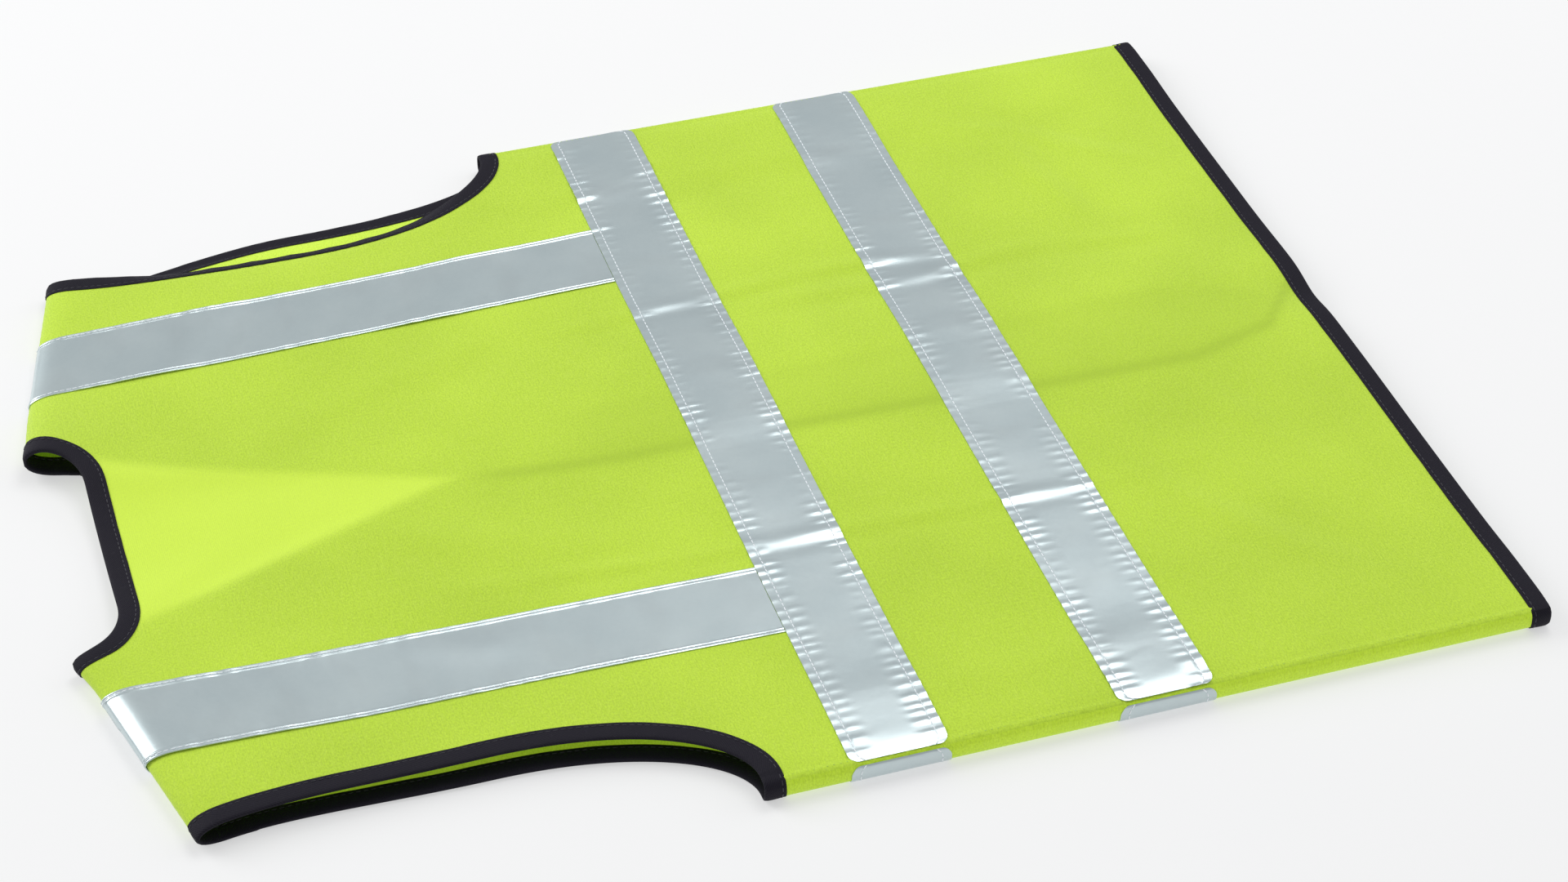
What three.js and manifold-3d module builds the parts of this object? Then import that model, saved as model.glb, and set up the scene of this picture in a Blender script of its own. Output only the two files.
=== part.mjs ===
// High visibility vest, lying flat on its front with the back upwards and the neck towards +Y.
// Millimetres, +Z up. The origin is on the floor under the middle of the vest.
// Cloth, tape and binding are thin sheets that bend round the side folds and the shoulder folds.
import * as THREE from "three";
import { mergeVertices } from "three/addons/utils/BufferGeometryUtils.js";
import Module from "manifold-3d";

const wasm = await Module();
wasm.setup();

// The whole vest
const bodyLength = 702; // hem to the top of the shoulder folds
const bodyWidth = 548; // across the side folds
const foldRadius = 6; // outer face of the cloth round a side or shoulder fold

// Sheet goods
const clothThickness = 0.8;
const tapeThickness = 0.5;
const tapeWidth = 50;
const tapeCorner = 8; // rounded ends at the side seams
const bindingThickness = 0.5;
const bindingWidth = 10; // how far each leg reaches over the cloth
const clearance = 0.3; // between pieces that are sewn face to face or end to end

// Shoulders, neck and armholes
const shoulderSlope = THREE.MathUtils.degToRad(13.8);
const shoulderInset = 53; // side fold to the shoulder's outer end
const seamForward = 22; // shoulder fold to the shoulder seam on the front
const neckHalfWidth = 78;
const backNeckDrop = 22; // below the inner end of the shoulder fold
const backNeckFlat = 48; // half of the straight middle of the back neckline
const frontNeckDrop = 300; // where the front edge becomes straight
const armholeHeight = 252; // foot to the shoulder's outer end
const armholeTurn = 117; // foot to the narrowest place
const backArmholeInset = 60; // side fold to the narrowest place
const frontArmholeInset = 54;

// Tapes
const tapeBelowArmhole = 42; // armhole's foot to the upper tape
const tapeGap = 86; // between the upper and the lower tape
const tapeEndInset = 1; // back tapes stop short of the side seams
const tapeEndTurn = THREE.MathUtils.degToRad(12); // front tapes stop short of them too
const braceFromNeck = 40; // neck edge to the brace tape at the shoulder
const braceSpread = 11; // how much further out the brace tape stands at the upper tape

// Front opening
const lapOverlap = 55; // the two front edges pass each other by this
const frontCorner = 75; // radius of the front hem corners
const rollLineInset = 10; // the roll line of a front flap, inwards of the neck's width
const rampLength = 26; // where the under flap climbs onto the over flap
const rampStart = 6; // roll line to the ramp
const closureWidth = 20;
const closureLength = 60;
const closureBelowTape = 45; // lower tape to the lower closure strips

// Label inside the back neck
const labelWidth = 40;
const labelLength = 50;
const labelThickness = 0.4;

// Levels and places that follow from the sizes above
const web = clearance + bindingThickness;
const skin = clearance + Math.max(tapeThickness, bindingThickness);
const foldLevel = skin + foldRadius;
const lapRise = clothThickness + 2 * skin + clearance;
const closureThickness = (lapRise - clothThickness - 3 * clearance) / 2;
const clothOuter = foldRadius;
const clothInner = foldRadius - clothThickness;
const clothMiddle = foldRadius - clothThickness / 2;
const tapeInner = foldRadius + clearance;
const tapeOuter = tapeInner + tapeThickness;
const sideX = bodyWidth / 2 - foldRadius - skin;
const hemY = web - bodyLength / 2;
const shoulderX = bodyWidth / 2 - shoulderInset;
const neckEnd = shoulderPlace(neckHalfWidth);
const shoulderEnd = shoulderPlace(shoulderX);
const footY = shoulderEnd.y - armholeHeight;
const upperTapeY = footY - tapeBelowArmhole - tapeWidth;
const lowerTapeY = upperTapeY - tapeGap - tapeWidth;
const frontEdgeX = -lapOverlap / 2;
const rollX = neckHalfWidth - rollLineInset;
const rampFoot = rollX - rampStart;
const rampHead = rampFoot - rampLength;
const backNeckY = neckEnd.y - backNeckDrop;
const breakY = neckEnd.y - frontNeckDrop;

const alongShoulder = new THREE.Vector2(Math.cos(shoulderSlope), -Math.sin(shoulderSlope));
const overShoulder = new THREE.Vector2(Math.sin(shoulderSlope), Math.cos(shoulderSlope));
const reach = bodyLength + bodyWidth; // longer than any piece, for cutting blocks
const curveSteps = 14;
const overlap = 0.01; // between parts of one piece that are joined
const foldSteps = 10;
const foldLeg = 1; // how far a shoulder fold's piece runs on into the flat sheets, which it joins

// The place x on the line where the flat back meets the shoulder fold.
function shoulderPlace(x) {
  const top = bodyLength / 2 - (foldRadius + skin) * Math.cos(shoulderSlope);
  return new THREE.Vector2(x, top - (x - neckHalfWidth + web) * Math.tan(shoulderSlope));
}

function bezier(a, b, c, d, steps = curveSteps) {
  return new THREE.CubicBezierCurve(a, b, c, d).getPoints(steps);
}

function at(x, y) {
  return new THREE.Vector2(x, y);
}

// Curves of the right half, each a list of places in plan

// From the foot at the side fold up to the shoulder.
function armholeCurve(inset) {
  const narrowX = bodyWidth / 2 - inset;
  const narrowY = footY + armholeTurn;
  const foot = at(sideX, footY);
  const narrow = at(narrowX, narrowY);
  const upper = shoulderEnd.y - narrowY;
  const lowerPart = bezier(
    foot,
    at(sideX - 0.45 * (sideX - narrowX), footY),
    at(narrowX, footY + 0.36 * armholeTurn),
    narrow,
  );
  const upperPart = bezier(
    narrow,
    at(narrowX, narrowY + 0.4 * upper),
    shoulderEnd.clone().addScaledVector(overShoulder, -0.25 * upper),
    shoulderEnd,
  );
  return [...lowerPart, ...upperPart.slice(1)];
}

// From the shoulder down to the straight middle of the back neckline.
function backNeckCurve() {
  return bezier(
    neckEnd,
    neckEnd.clone().addScaledVector(overShoulder, -0.55 * backNeckDrop),
    at(backNeckFlat + 0.6 * (neckHalfWidth - backNeckFlat), backNeckY),
    at(backNeckFlat, backNeckY),
  );
}

// From the shoulder down the V neck to the straight front edge.
function frontNeckCurve() {
  return bezier(
    neckEnd,
    neckEnd.clone().addScaledVector(overShoulder, -0.2 * frontNeckDrop),
    at(frontEdgeX, breakY + 0.24 * frontNeckDrop),
    at(frontEdgeX, breakY),
    2 * curveSteps,
  );
}

// Down the straight front edge and round its corner to the hem.
function frontEdgeCurve() {
  const centre = at(frontEdgeX + frontCorner, hemY + frontCorner);
  const round = [];
  for (let i = 0; i <= curveSteps; i++) {
    const turn = (i / curveSteps) * (Math.PI / 2);
    round.push(at(centre.x - frontCorner * Math.cos(turn), centre.y - frontCorner * Math.sin(turn)));
  }
  return round;
}

const backArmhole = armholeCurve(backArmholeInset);
const frontArmhole = armholeCurve(frontArmholeInset);
const backNeck = backNeckCurve();
const frontNeck = frontNeckCurve();
const frontEdge = frontEdgeCurve();

// Geometry and solids

function prism(points, low, high) {
  const shape = new THREE.Shape(points);
  const geometry = new THREE.ExtrudeGeometry(shape, { depth: high - low, bevelEnabled: false });
  return geometry.translate(0, 0, low);
}

function block(x0, x1, y0, y1, z0, z1) {
  return new THREE.BoxGeometry(x1 - x0, y1 - y0, z1 - z0).translate(
    (x0 + x1) / 2,
    (y0 + y1) / 2,
    (z0 + z1) / 2,
  );
}

// A solid from a geometry of the right half, mirrored to the left where side is -1.
function solidOf(geometry, side = 1) {
  const bare = geometry.clone();
  bare.deleteAttribute("normal");
  bare.deleteAttribute("uv");
  const merged = mergeVertices(bare.scale(side, 1, 1), 1e-4);
  const triangles = Uint32Array.from(merged.index.array);
  if (side < 0) triangles.reverse();
  return new wasm.Manifold(
    new wasm.Mesh({
      numProp: 3,
      vertProperties: merged.attributes.position.array,
      triVerts: triangles,
    }),
  );
}

function geometryOf(solid) {
  const mesh = solid.getMesh();
  const geometry = new THREE.BufferGeometry();
  geometry.setAttribute("position", new THREE.BufferAttribute(mesh.vertProperties, 3));
  geometry.setIndex(new THREE.BufferAttribute(mesh.triVerts, 1));
  return geometry.toNonIndexed();
}

// Points round a fold, from the back's level (turn 0) to the front's (turn pi).
function foldPoints(x, radius, firstTurn, lastTurn) {
  const points = [];
  for (let i = 0; i <= foldSteps; i++) {
    const turn = firstTurn + ((lastTurn - firstTurn) * i) / foldSteps;
    points.push(at(x + radius * Math.sin(turn), foldLevel + radius * Math.cos(turn)));
  }
  return points;
}

// A front sheet between two radii: flat on the front and round the side fold. It is as long as the
// vest and is cut to its outline afterwards.
function frontSheet(inner, outer, endTurn = 0) {
  const face = (radius) => [
    at(frontEdgeX - lapOverlap, foldLevel - radius),
    ...foldPoints(sideX, radius, Math.PI, endTurn),
  ];
  const section = new THREE.Shape([...face(outer), ...face(inner).reverse()]);
  const geometry = new THREE.ExtrudeGeometry(section, { depth: reach, bevelEnabled: false });
  return geometry.rotateX(Math.PI / 2).translate(0, reach / 2, 0);
}

// A sheet over the shoulder fold between two radii, with a leg on the back and one on the front.
function shoulderSheet(inner, outer, backLeg, frontLeg, start, length) {
  const face = (radius) => [
    at(-backLeg, foldLevel + radius),
    ...foldPoints(0, radius, 0, Math.PI),
    at(-frontLeg, foldLevel - radius),
  ];
  const section = new THREE.Shape([...face(outer), ...face(inner).reverse()]);
  const geometry = new THREE.ExtrudeGeometry(section, { depth: length, bevelEnabled: false });
  const frame = new THREE.Matrix4().makeBasis(
    new THREE.Vector3(overShoulder.x, overShoulder.y, 0),
    new THREE.Vector3(0, 0, 1),
    new THREE.Vector3(alongShoulder.x, alongShoulder.y, 0),
  );
  frame.setPosition(start.x, start.y, 0);
  return geometry.applyMatrix4(frame);
}

// Stations along an edge: a place, the direction into the cloth and the direction out of its face.

// facing is 1 on the back and -1 on the front; cloth is 1 where the cloth is on the left.
function flatRun(points, facing, cloth) {
  const level = foldLevel + facing * clothMiddle;
  const normals = points.slice(1).map((p, i) => {
    const along = p.clone().sub(points[i]).normalize();
    return at(-along.y * cloth, along.x * cloth);
  });
  return points.map((p, i) => {
    const before = normals[Math.max(i - 1, 0)];
    const after = normals[Math.min(i, normals.length - 1)];
    const into = before.clone().add(after).divideScalar(1 + before.dot(after));
    return {
      place: new THREE.Vector3(p.x, p.y, level),
      into: new THREE.Vector3(into.x, into.y, 0),
      out: new THREE.Vector3(0, 0, facing),
    };
  });
}

// Round a fold, from the back to the front.
function foldRun(centre, outward, into) {
  const stations = [];
  for (let i = 0; i <= foldSteps; i++) {
    const turn = (Math.PI * i) / foldSteps;
    const flat = outward.clone().multiplyScalar(Math.sin(turn));
    const out = new THREE.Vector3(flat.x, flat.y, Math.cos(turn));
    const middle = new THREE.Vector3(centre.x, centre.y, foldLevel);
    stations.push({
      place: middle.addScaledVector(out, clothMiddle),
      into: new THREE.Vector3(into.x, into.y, 0),
      out,
    });
  }
  return stations;
}

function mirroredRun(stations) {
  const flip = (v) => new THREE.Vector3(-v.x, v.y, v.z);
  return stations.map((s) => ({ place: flip(s.place), into: flip(s.into), out: flip(s.out) }));
}

// A strip with the given section all along the stations, closed on itself or with flat ends.
function strip(stations, section, closed = false) {
  const positions = [];
  for (const { place, into, out } of stations)
    for (const [a, b] of section)
      positions.push(...place.clone().addScaledVector(into, a).addScaledVector(out, b).toArray());
  const size = section.length;
  const count = stations.length;
  const index = [];
  for (let i = 0; i < (closed ? count : count - 1); i++)
    for (let j = 0; j < size; j++) {
      const a = i * size + j;
      const b = i * size + ((j + 1) % size);
      const c = ((i + 1) % count) * size + ((j + 1) % size);
      const d = ((i + 1) % count) * size + j;
      index.push(a, b, c, a, c, d);
    }
  if (!closed) {
    const ends = THREE.ShapeUtils.triangulateShape(section.map(([a, b]) => at(a, b)), []);
    const last = (count - 1) * size;
    for (const [a, b, c] of ends) index.push(a, c, b, last + a, last + b, last + c);
  }
  const geometry = new THREE.BufferGeometry();
  geometry.setAttribute("position", new THREE.Float32BufferAttribute(positions, 3));
  geometry.setIndex(signedVolume(positions, index) < 0 ? index.reverse() : index);
  return geometry;
}

function signedVolume(positions, index) {
  const corner = (i) => new THREE.Vector3().fromArray(positions, 3 * i);
  let sum = 0;
  for (let i = 0; i < index.length; i += 3)
    sum += corner(index[i]).dot(corner(index[i + 1]).cross(corner(index[i + 2])));
  return sum;
}

// Folded binding: two legs over the cloth, joined outside its cut edge.
const halfBinding = clothThickness / 2 + web;
const halfSlot = clothThickness / 2 + clearance;
const bindingSection = [
  [bindingWidth, halfBinding],
  [-web, halfBinding],
  [-web, -halfBinding],
  [bindingWidth, -halfBinding],
  [bindingWidth, -halfSlot],
  [-clearance, -halfSlot],
  [-clearance, halfSlot],
  [bindingWidth, halfSlot],
];

// The room that a tape leaves for the binding.
const bindingRoom = [
  [bindingWidth + clearance, halfBinding + clearance],
  [-2 * bindingWidth, halfBinding + clearance],
  [-2 * bindingWidth, -halfBinding - clearance],
  [bindingWidth + clearance, -halfBinding - clearance],
];

// A flat piece of the under flap, bent up the ramp so that its inner part lies on the over flap.
function climbed(flat) {
  const slope = lapRise / rampLength;
  const zones = [
    { from: rampFoot - overlap, to: reach, lean: 0, lift: 0 },
    { from: rampHead - overlap, to: rampFoot, lean: -slope, lift: slope * rampFoot },
    { from: -reach, to: rampHead, lean: 0, lift: lapRise },
  ];
  const parts = zones.map(({ from, to, lean, lift }) => {
    const part = flat.intersect(solidOf(block(from, to, -reach, reach, -reach, reach)));
    const bend = new THREE.Matrix4().set(1, 0, 0, 0, 0, 1, 0, 0, lean, 0, 1, lift, 0, 0, 0, 1);
    return solidOf(geometryOf(part).applyMatrix4(bend));
  });
  return parts[0].add(parts[1]).add(parts[2]);
}

// Materials

const cloth = new THREE.MeshStandardMaterial({ color: 0xbfe54a, roughness: 0.85, metalness: 0 });
const reflective = new THREE.MeshStandardMaterial({ color: 0xa9b7be, roughness: 0.4, metalness: 0.2 });
const edging = new THREE.MeshStandardMaterial({ color: 0x24222e, roughness: 0.8, metalness: 0 });
const closure = new THREE.MeshStandardMaterial({ color: 0xc4e052, roughness: 0.95, metalness: 0 });
const labelStock = new THREE.MeshStandardMaterial({ color: 0xf2f2ee, roughness: 0.7, metalness: 0 });

const vest = new THREE.Group();
vest.name = "vest";

function add(name, solid, material) {
  const mesh = new THREE.Mesh(geometryOf(solid), material);
  mesh.name = name;
  vest.add(mesh);
}

// Cutting blocks of the right half

const frontTop = foldLevel; // flaps and side panels part only on the front layer
const seamLine = [
  neckEnd.clone().addScaledVector(alongShoulder, -reach),
  neckEnd.clone().addScaledVector(alongShoulder, reach),
];

// The band between two distances behind the shoulder fold.
function shoulderBand(near, far) {
  const [inner, outer] = seamLine;
  return prism(
    [
      inner.clone().addScaledVector(overShoulder, -near),
      outer.clone().addScaledVector(overShoulder, -near),
      outer.clone().addScaledVector(overShoulder, -far),
      inner.clone().addScaledVector(overShoulder, -far),
    ],
    -reach,
    reach,
  );
}

const insideRoll = block(-reach, rollX - clearance / 2, -reach, reach, -reach, frontTop);
const outsideRoll = block(rollX + clearance / 2, reach, -reach, reach, -reach, reach);

// Back panel, with the part that wraps over each shoulder to the shoulder seam

function frontOutline() {
  return [
    at(sideX + 2 * foldRadius, hemY),
    at(sideX + 2 * foldRadius, footY),
    ...frontArmhole,
    ...frontNeck,
    ...frontEdge,
  ];
}

function backPanel() {
  const half = [
    at(sideX - clearance, hemY),
    at(sideX - clearance, footY),
    ...backArmhole.slice(1),
    ...backNeck,
  ];
  const otherHalf = half.map((p) => at(-p.x, p.y)).reverse();
  const level = foldLevel + clothInner;
  let panel = solidOf(prism([...half, ...otherHalf], level, level + clothThickness));
  const shoulderLength = neckEnd.distanceTo(shoulderEnd);
  for (const side of [1, -1]) {
    const wrap = shoulderSheet(clothInner, clothOuter, foldLeg, foldLeg, neckEnd, shoulderLength);
    const fold = solidOf(wrap, side);
    const yoke = solidOf(frontSheet(clothInner, clothOuter), side)
      .intersect(solidOf(prism(frontOutline(), 0, frontTop), side))
      .intersect(solidOf(shoulderBand(0, seamForward), side));
    panel = panel.add(fold).add(yoke);
  }
  return panel;
}

add("back_panel", backPanel(), cloth);

// Front panels, each parted at its roll line into the side that stays and the flap that opens.
// The right front is the under flap, so it climbs onto the left one.

for (const [hand, side] of [["left", -1], ["right", 1]]) {
  const outline = solidOf(prism(frontOutline(), -reach, reach), side);
  const belowSeam = solidOf(shoulderBand(seamForward + clearance, reach), side);
  const flapCut = solidOf(insideRoll, side);
  const sideCut = solidOf(outsideRoll, side);
  const laid = (flat) => (hand === "right" ? climbed(flat) : flat);
  const front = solidOf(frontSheet(clothInner, clothOuter), side)
    .intersect(outline)
    .intersect(belowSeam);
  add(`${hand}_front_panel`, front.intersect(sideCut), cloth);
  add(`${hand}_front_flap`, laid(front.intersect(flapCut)), cloth);

  // Binding along the V neck, the front edge and the front hem
  const edgeRun = flatRun([...frontNeck, ...frontEdge, at(sideX, hemY)], -1, 1);
  const edge = solidOf(strip(edgeRun, bindingSection), side);
  const edgeRoom = solidOf(strip(edgeRun, bindingRoom), side);
  add(`${hand}_flap_binding`, laid(edge.intersect(flapCut)), edging);

  const hemFold = foldRun(at(sideX, hemY), at(1, 0), at(0, 1));
  const hemSide = [...hemFold, ...flatRun([at(sideX, hemY), at(rampFoot, hemY)], -1, -1).slice(1)];
  add(`${hand}_hem_binding`, solidOf(strip(hemSide, bindingSection), side).intersect(sideCut), edging);

  // Front tapes
  const tapeSheet = solidOf(frontSheet(tapeInner, tapeOuter, tapeEndTurn), side);
  for (const [place, low] of [["upper", upperTapeY], ["lower", lowerTapeY]]) {
    const band = solidOf(block(-reach, reach, low, low + tapeWidth, -reach, reach));
    const tape = tapeSheet.intersect(band).intersect(outline);
    add(`${hand}_front_tape_${place}`, tape.intersect(sideCut), reflective);
    add(`${hand}_flap_tape_${place}`, laid(tape.intersect(flapCut).subtract(edgeRoom)), reflective);
  }

  // Armhole binding, one ring round the back edge, the shoulder, the front edge and the side fold
  const ring = [
    ...flatRun(backArmhole, 1, 1).slice(1, -1),
    ...foldRun(shoulderEnd, overShoulder, alongShoulder.clone().negate()),
    ...flatRun([...frontArmhole].reverse(), -1, -1).slice(1, -1),
    ...foldRun(at(sideX, footY), at(1, 0), at(0, -1)).reverse(),
  ];
  add(`${hand}_armhole_binding`, solidOf(strip(ring, bindingSection, true), side), edging);

  // Brace tapes, parted at the shoulder seam
  const neckSide = neckHalfWidth + braceFromNeck;
  const foot = upperTapeY + tapeWidth + clearance;
  const lean = braceSpread / (neckEnd.y - foot);
  const braceX = (y) => neckSide + lean * (neckEnd.y - y);
  const past = neckEnd.y + seamForward;
  const course = prism(
    [
      at(braceX(foot), foot),
      at(braceX(foot) + tapeWidth, foot),
      at(braceX(past) + tapeWidth, past),
      at(braceX(past), past),
    ],
    -reach,
    reach,
  );
  const sheet = shoulderSheet(
    tapeInner,
    tapeOuter,
    reach,
    reach,
    neckEnd.clone().addScaledVector(alongShoulder, -reach / 2),
    reach,
  );
  const brace = solidOf(sheet, side)
    .intersect(solidOf(course, side))
    .subtract(solidOf(strip(ring, bindingRoom, true), side));
  const frontLayer = solidOf(block(-reach, reach, -reach, reach, -reach, frontTop));
  const seamTop = solidOf(shoulderBand(seamForward, reach), side).intersect(frontLayer);
  add(`${hand}_brace_tape_back`, brace.subtract(seamTop), reflective);
  add(`${hand}_brace_tape_front`, brace.intersect(frontLayer).intersect(belowSeam), reflective);
}

// Back tapes, with rounded ends at the side seams

function roundedBand(halfLength, low, high, radius) {
  const shape = new THREE.Shape();
  shape.moveTo(-halfLength + radius, low);
  shape.lineTo(halfLength - radius, low);
  shape.absarc(halfLength - radius, low + radius, radius, -Math.PI / 2, 0);
  shape.absarc(halfLength - radius, high - radius, radius, 0, Math.PI / 2);
  shape.lineTo(-halfLength + radius, high);
  shape.absarc(-halfLength + radius, high - radius, radius, Math.PI / 2, Math.PI);
  shape.absarc(-halfLength + radius, low + radius, radius, Math.PI, 1.5 * Math.PI);
  return shape.getPoints(5);
}

for (const [place, low] of [["upper", upperTapeY], ["lower", lowerTapeY]]) {
  const band = roundedBand(sideX - clearance - tapeEndInset, low, low + tapeWidth, tapeCorner);
  const tape = prism(band, foldLevel + tapeInner, foldLevel + tapeOuter);
  add(`back_tape_${place}`, solidOf(tape), reflective);
}

// Binding of the neck: down each front to the roll line, over the shoulders and across the back

const neckHalf = [
  ...flatRun([...frontNeck].reverse(), -1, -1).slice(curveSteps, -1),
  ...foldRun(neckEnd, overShoulder, alongShoulder).reverse(),
  ...flatRun(backNeck, 1, 1).slice(1),
];
const neckRing = [...neckHalf, ...mirroredRun(neckHalf).reverse()];
const flapZone = block(-rollX - clearance / 2, rollX + clearance / 2, -reach, reach, -reach, frontTop);
add("neck_binding", solidOf(strip(neckRing, bindingSection)).subtract(solidOf(flapZone)), edging);

// Binding of the back hem

const backHem = flatRun([at(-sideX + clearance, hemY), at(sideX - clearance, hemY)], 1, 1);
add("back_hem_binding", solidOf(strip(backHem, bindingSection)), edging);

// Hook strips on the over flap's inner face and loop strips on the under flap's outer face

const hookLow = foldLevel - clothInner + clearance;
const loopLow = foldLevel - clothOuter + lapRise - clearance - closureThickness;
const closureRows = {
  upper: (upperTapeY + lowerTapeY + tapeWidth) / 2,
  lower: lowerTapeY - closureBelowTape - closureLength / 2,
};
for (const [place, y] of Object.entries(closureRows))
  for (const [kind, low] of [["hook", hookLow], ["loop", loopLow]]) {
    const patch = new THREE.BoxGeometry(closureWidth, closureLength, closureThickness);
    add(`${kind}_strip_${place}`, solidOf(patch.translate(0, y, low + closureThickness / 2)), closure);
  }

// Blank label under the back neck

const labelTop = backNeckY - bindingWidth - clearance;
const labelZ = foldLevel + clothInner - clearance - labelThickness / 2;
const label = new THREE.BoxGeometry(labelWidth, labelLength, labelThickness);
add("care_label", solidOf(label.translate(0, labelTop - labelLength / 2, labelZ)), labelStock);

export default vest;
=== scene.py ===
import math

import bpy
import numpy as np
from mathutils import Matrix, Vector
from mathutils.geometry import delaunay_2d_cdt


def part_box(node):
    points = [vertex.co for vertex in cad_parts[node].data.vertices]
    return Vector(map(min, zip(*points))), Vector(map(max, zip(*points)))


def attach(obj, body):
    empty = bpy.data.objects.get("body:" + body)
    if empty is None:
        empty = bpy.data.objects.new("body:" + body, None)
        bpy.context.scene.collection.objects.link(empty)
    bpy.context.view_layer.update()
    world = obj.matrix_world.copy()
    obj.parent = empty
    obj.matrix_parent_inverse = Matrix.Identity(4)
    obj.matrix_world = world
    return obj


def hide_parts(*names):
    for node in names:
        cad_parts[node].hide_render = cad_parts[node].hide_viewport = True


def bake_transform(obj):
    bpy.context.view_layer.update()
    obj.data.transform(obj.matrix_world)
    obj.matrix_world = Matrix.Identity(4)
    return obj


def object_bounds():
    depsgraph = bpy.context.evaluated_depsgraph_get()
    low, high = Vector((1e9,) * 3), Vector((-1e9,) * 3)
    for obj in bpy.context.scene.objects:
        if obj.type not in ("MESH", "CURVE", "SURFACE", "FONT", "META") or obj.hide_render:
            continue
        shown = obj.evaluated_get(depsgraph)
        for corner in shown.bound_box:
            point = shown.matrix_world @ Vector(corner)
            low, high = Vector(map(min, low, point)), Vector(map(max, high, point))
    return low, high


# A high visibility vest lying on its front. Sheets are drawn flat, in millimetres, and then laid
# round the side folds and the shoulder folds. Scene units are metres.
mm = 0.001
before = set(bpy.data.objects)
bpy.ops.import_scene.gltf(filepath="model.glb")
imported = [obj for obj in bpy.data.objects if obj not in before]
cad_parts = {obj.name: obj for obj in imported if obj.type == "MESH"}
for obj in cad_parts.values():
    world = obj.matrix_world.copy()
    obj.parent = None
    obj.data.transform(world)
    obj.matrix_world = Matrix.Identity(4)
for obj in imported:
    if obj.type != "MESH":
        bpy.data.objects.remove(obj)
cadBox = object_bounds()


def spanOf(node):
    low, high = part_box(node)
    return np.array(low) / mm, np.array(high) / mm


# The camera's place and its own right and up
camera = {
    "place": (-1.3635, 0.4144, 1.1464),
    "right": (-0.3109, -0.9504, 0.0077),
    "up": (0.5995, -0.1898, 0.7776),
    "lens": 79.3,
    "sensor": 36.0,
}


def makeCamera():
    data = bpy.data.cameras.new("camera")
    data.lens = camera["lens"]
    data.sensor_width = camera["sensor"]
    data.clip_start = 0.05
    data.clip_end = 30
    right = Vector(camera["right"]).normalized()
    up = Vector(camera["up"])
    up = (up - right * up.dot(right)).normalized()
    turn = Matrix((right, up, right.cross(up))).transposed()
    item = bpy.data.objects.new("camera", data)
    item.matrix_world = Matrix.Translation(camera["place"]) @ turn.to_4x4()
    bpy.context.scene.collection.objects.link(item)
    bpy.context.scene.camera = item


makeCamera()

# Places taken from the fixed frame
backLow, backHigh = spanOf("back_panel")
armLow = spanOf("right_armhole_binding")[0]
vestTop = cadBox[1][1] / mm
clothHalf = 0.4
sideX = backHigh[0] + 0.3
hemY = backLow[1]
backZ = backHigh[2] - clothHalf
frontZ = backLow[2] + clothHalf
foldZ = (backZ + frontZ) / 2
foldRise = (backZ - frontZ) / 2
lapRise = spanOf("right_front_flap")[1][2] - spanOf("left_front_flap")[1][2]
rollX = -spanOf("left_front_panel")[1][0] - 0.15

# The cut of the vest, as in its pattern
cut = {
    "shoulderSlope": math.radians(13.8),
    "neckHalfWidth": 78.0,
    "shoulderX": 221.0,
    "backNeckDrop": 22.0,
    "backNeckFlat": 48.0,
    "frontNeckDrop": 300.0,
    "armholeTurn": 117.0,
    "backNarrowX": 214.0,
    "frontNarrowX": {"left": 219.0, "right": 238.0},
    "frontEdgeX": -27.5,
    "frontCorner": 75.0,
    "seamForward": 22.0,
    "topInset": 6.8,
    "neckInset": 0.8,
    "footRise": 10.0,
    "armHandles": (0.45, 0.36, 0.4, 0.25),
    "yokeStart": 0.4,
    "seamAngle": 38.0,
    "seamGap": 0.25,
    "rampFoot": rollX - 6,
    "rampHead": rollX - 32,
}
footY = armLow[1] + cut["footRise"]
folds = {
    "sideReach": 4.6,
    "sideSquare": 2.9,
    "sideDroop": 0.75,
    "droopLong": 15.0,
    "shoulderReach": 15.0,
    "shoulderSquare": 2.1,
}
print("places", round(sideX, 2), round(hemY, 2), round(footY, 2), round(lapRise, 2), round(rollX, 2))

over = np.array([math.sin(cut["shoulderSlope"]), math.cos(cut["shoulderSlope"])])
along = np.array([over[1], -over[0]])


def shoulderPlace(x):
    top = vestTop - cut["topInset"] * over[1]
    return np.array([x, top - (x - cut["neckHalfWidth"] + cut["neckInset"]) * over[0] / over[1]])


neckEnd = shoulderPlace(cut["neckHalfWidth"])
shoulderEnd = shoulderPlace(cut["shoulderX"])
backNeckY = neckEnd[1] - cut["backNeckDrop"]
breakY = neckEnd[1] - cut["frontNeckDrop"]


# Curves in the flat drawing, as lists of places
def bezier(a, b, c, d, steps=40):
    t = np.linspace(0, 1, steps + 1)[:, None]
    a, b, c, d = (np.asarray(p, float) for p in (a, b, c, d))
    return a * (1 - t) ** 3 + 3 * b * t * (1 - t) ** 2 + 3 * c * t**2 * (1 - t) + d * t**3


def joined(*runs):
    line = [np.asarray(runs[0], float)]
    for run in runs[1:]:
        line.append(np.asarray(run, float)[1:])
    return np.concatenate(line)


def lengths(line):
    steps = np.linalg.norm(np.diff(line, axis=0), axis=1)
    return np.concatenate([[0], np.cumsum(steps)])


def spaced(line, step, closed=False):
    line = np.asarray(line, float)
    if closed:
        line = np.concatenate([line, line[:1]])
    run = lengths(line)
    at = np.linspace(0, run[-1], max(2, math.ceil(run[-1] / step)) + 1)
    made = np.stack([np.interp(at, run, line[:, k]) for k in range(line.shape[1])], axis=1)
    return made[:-1] if closed else made


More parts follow.
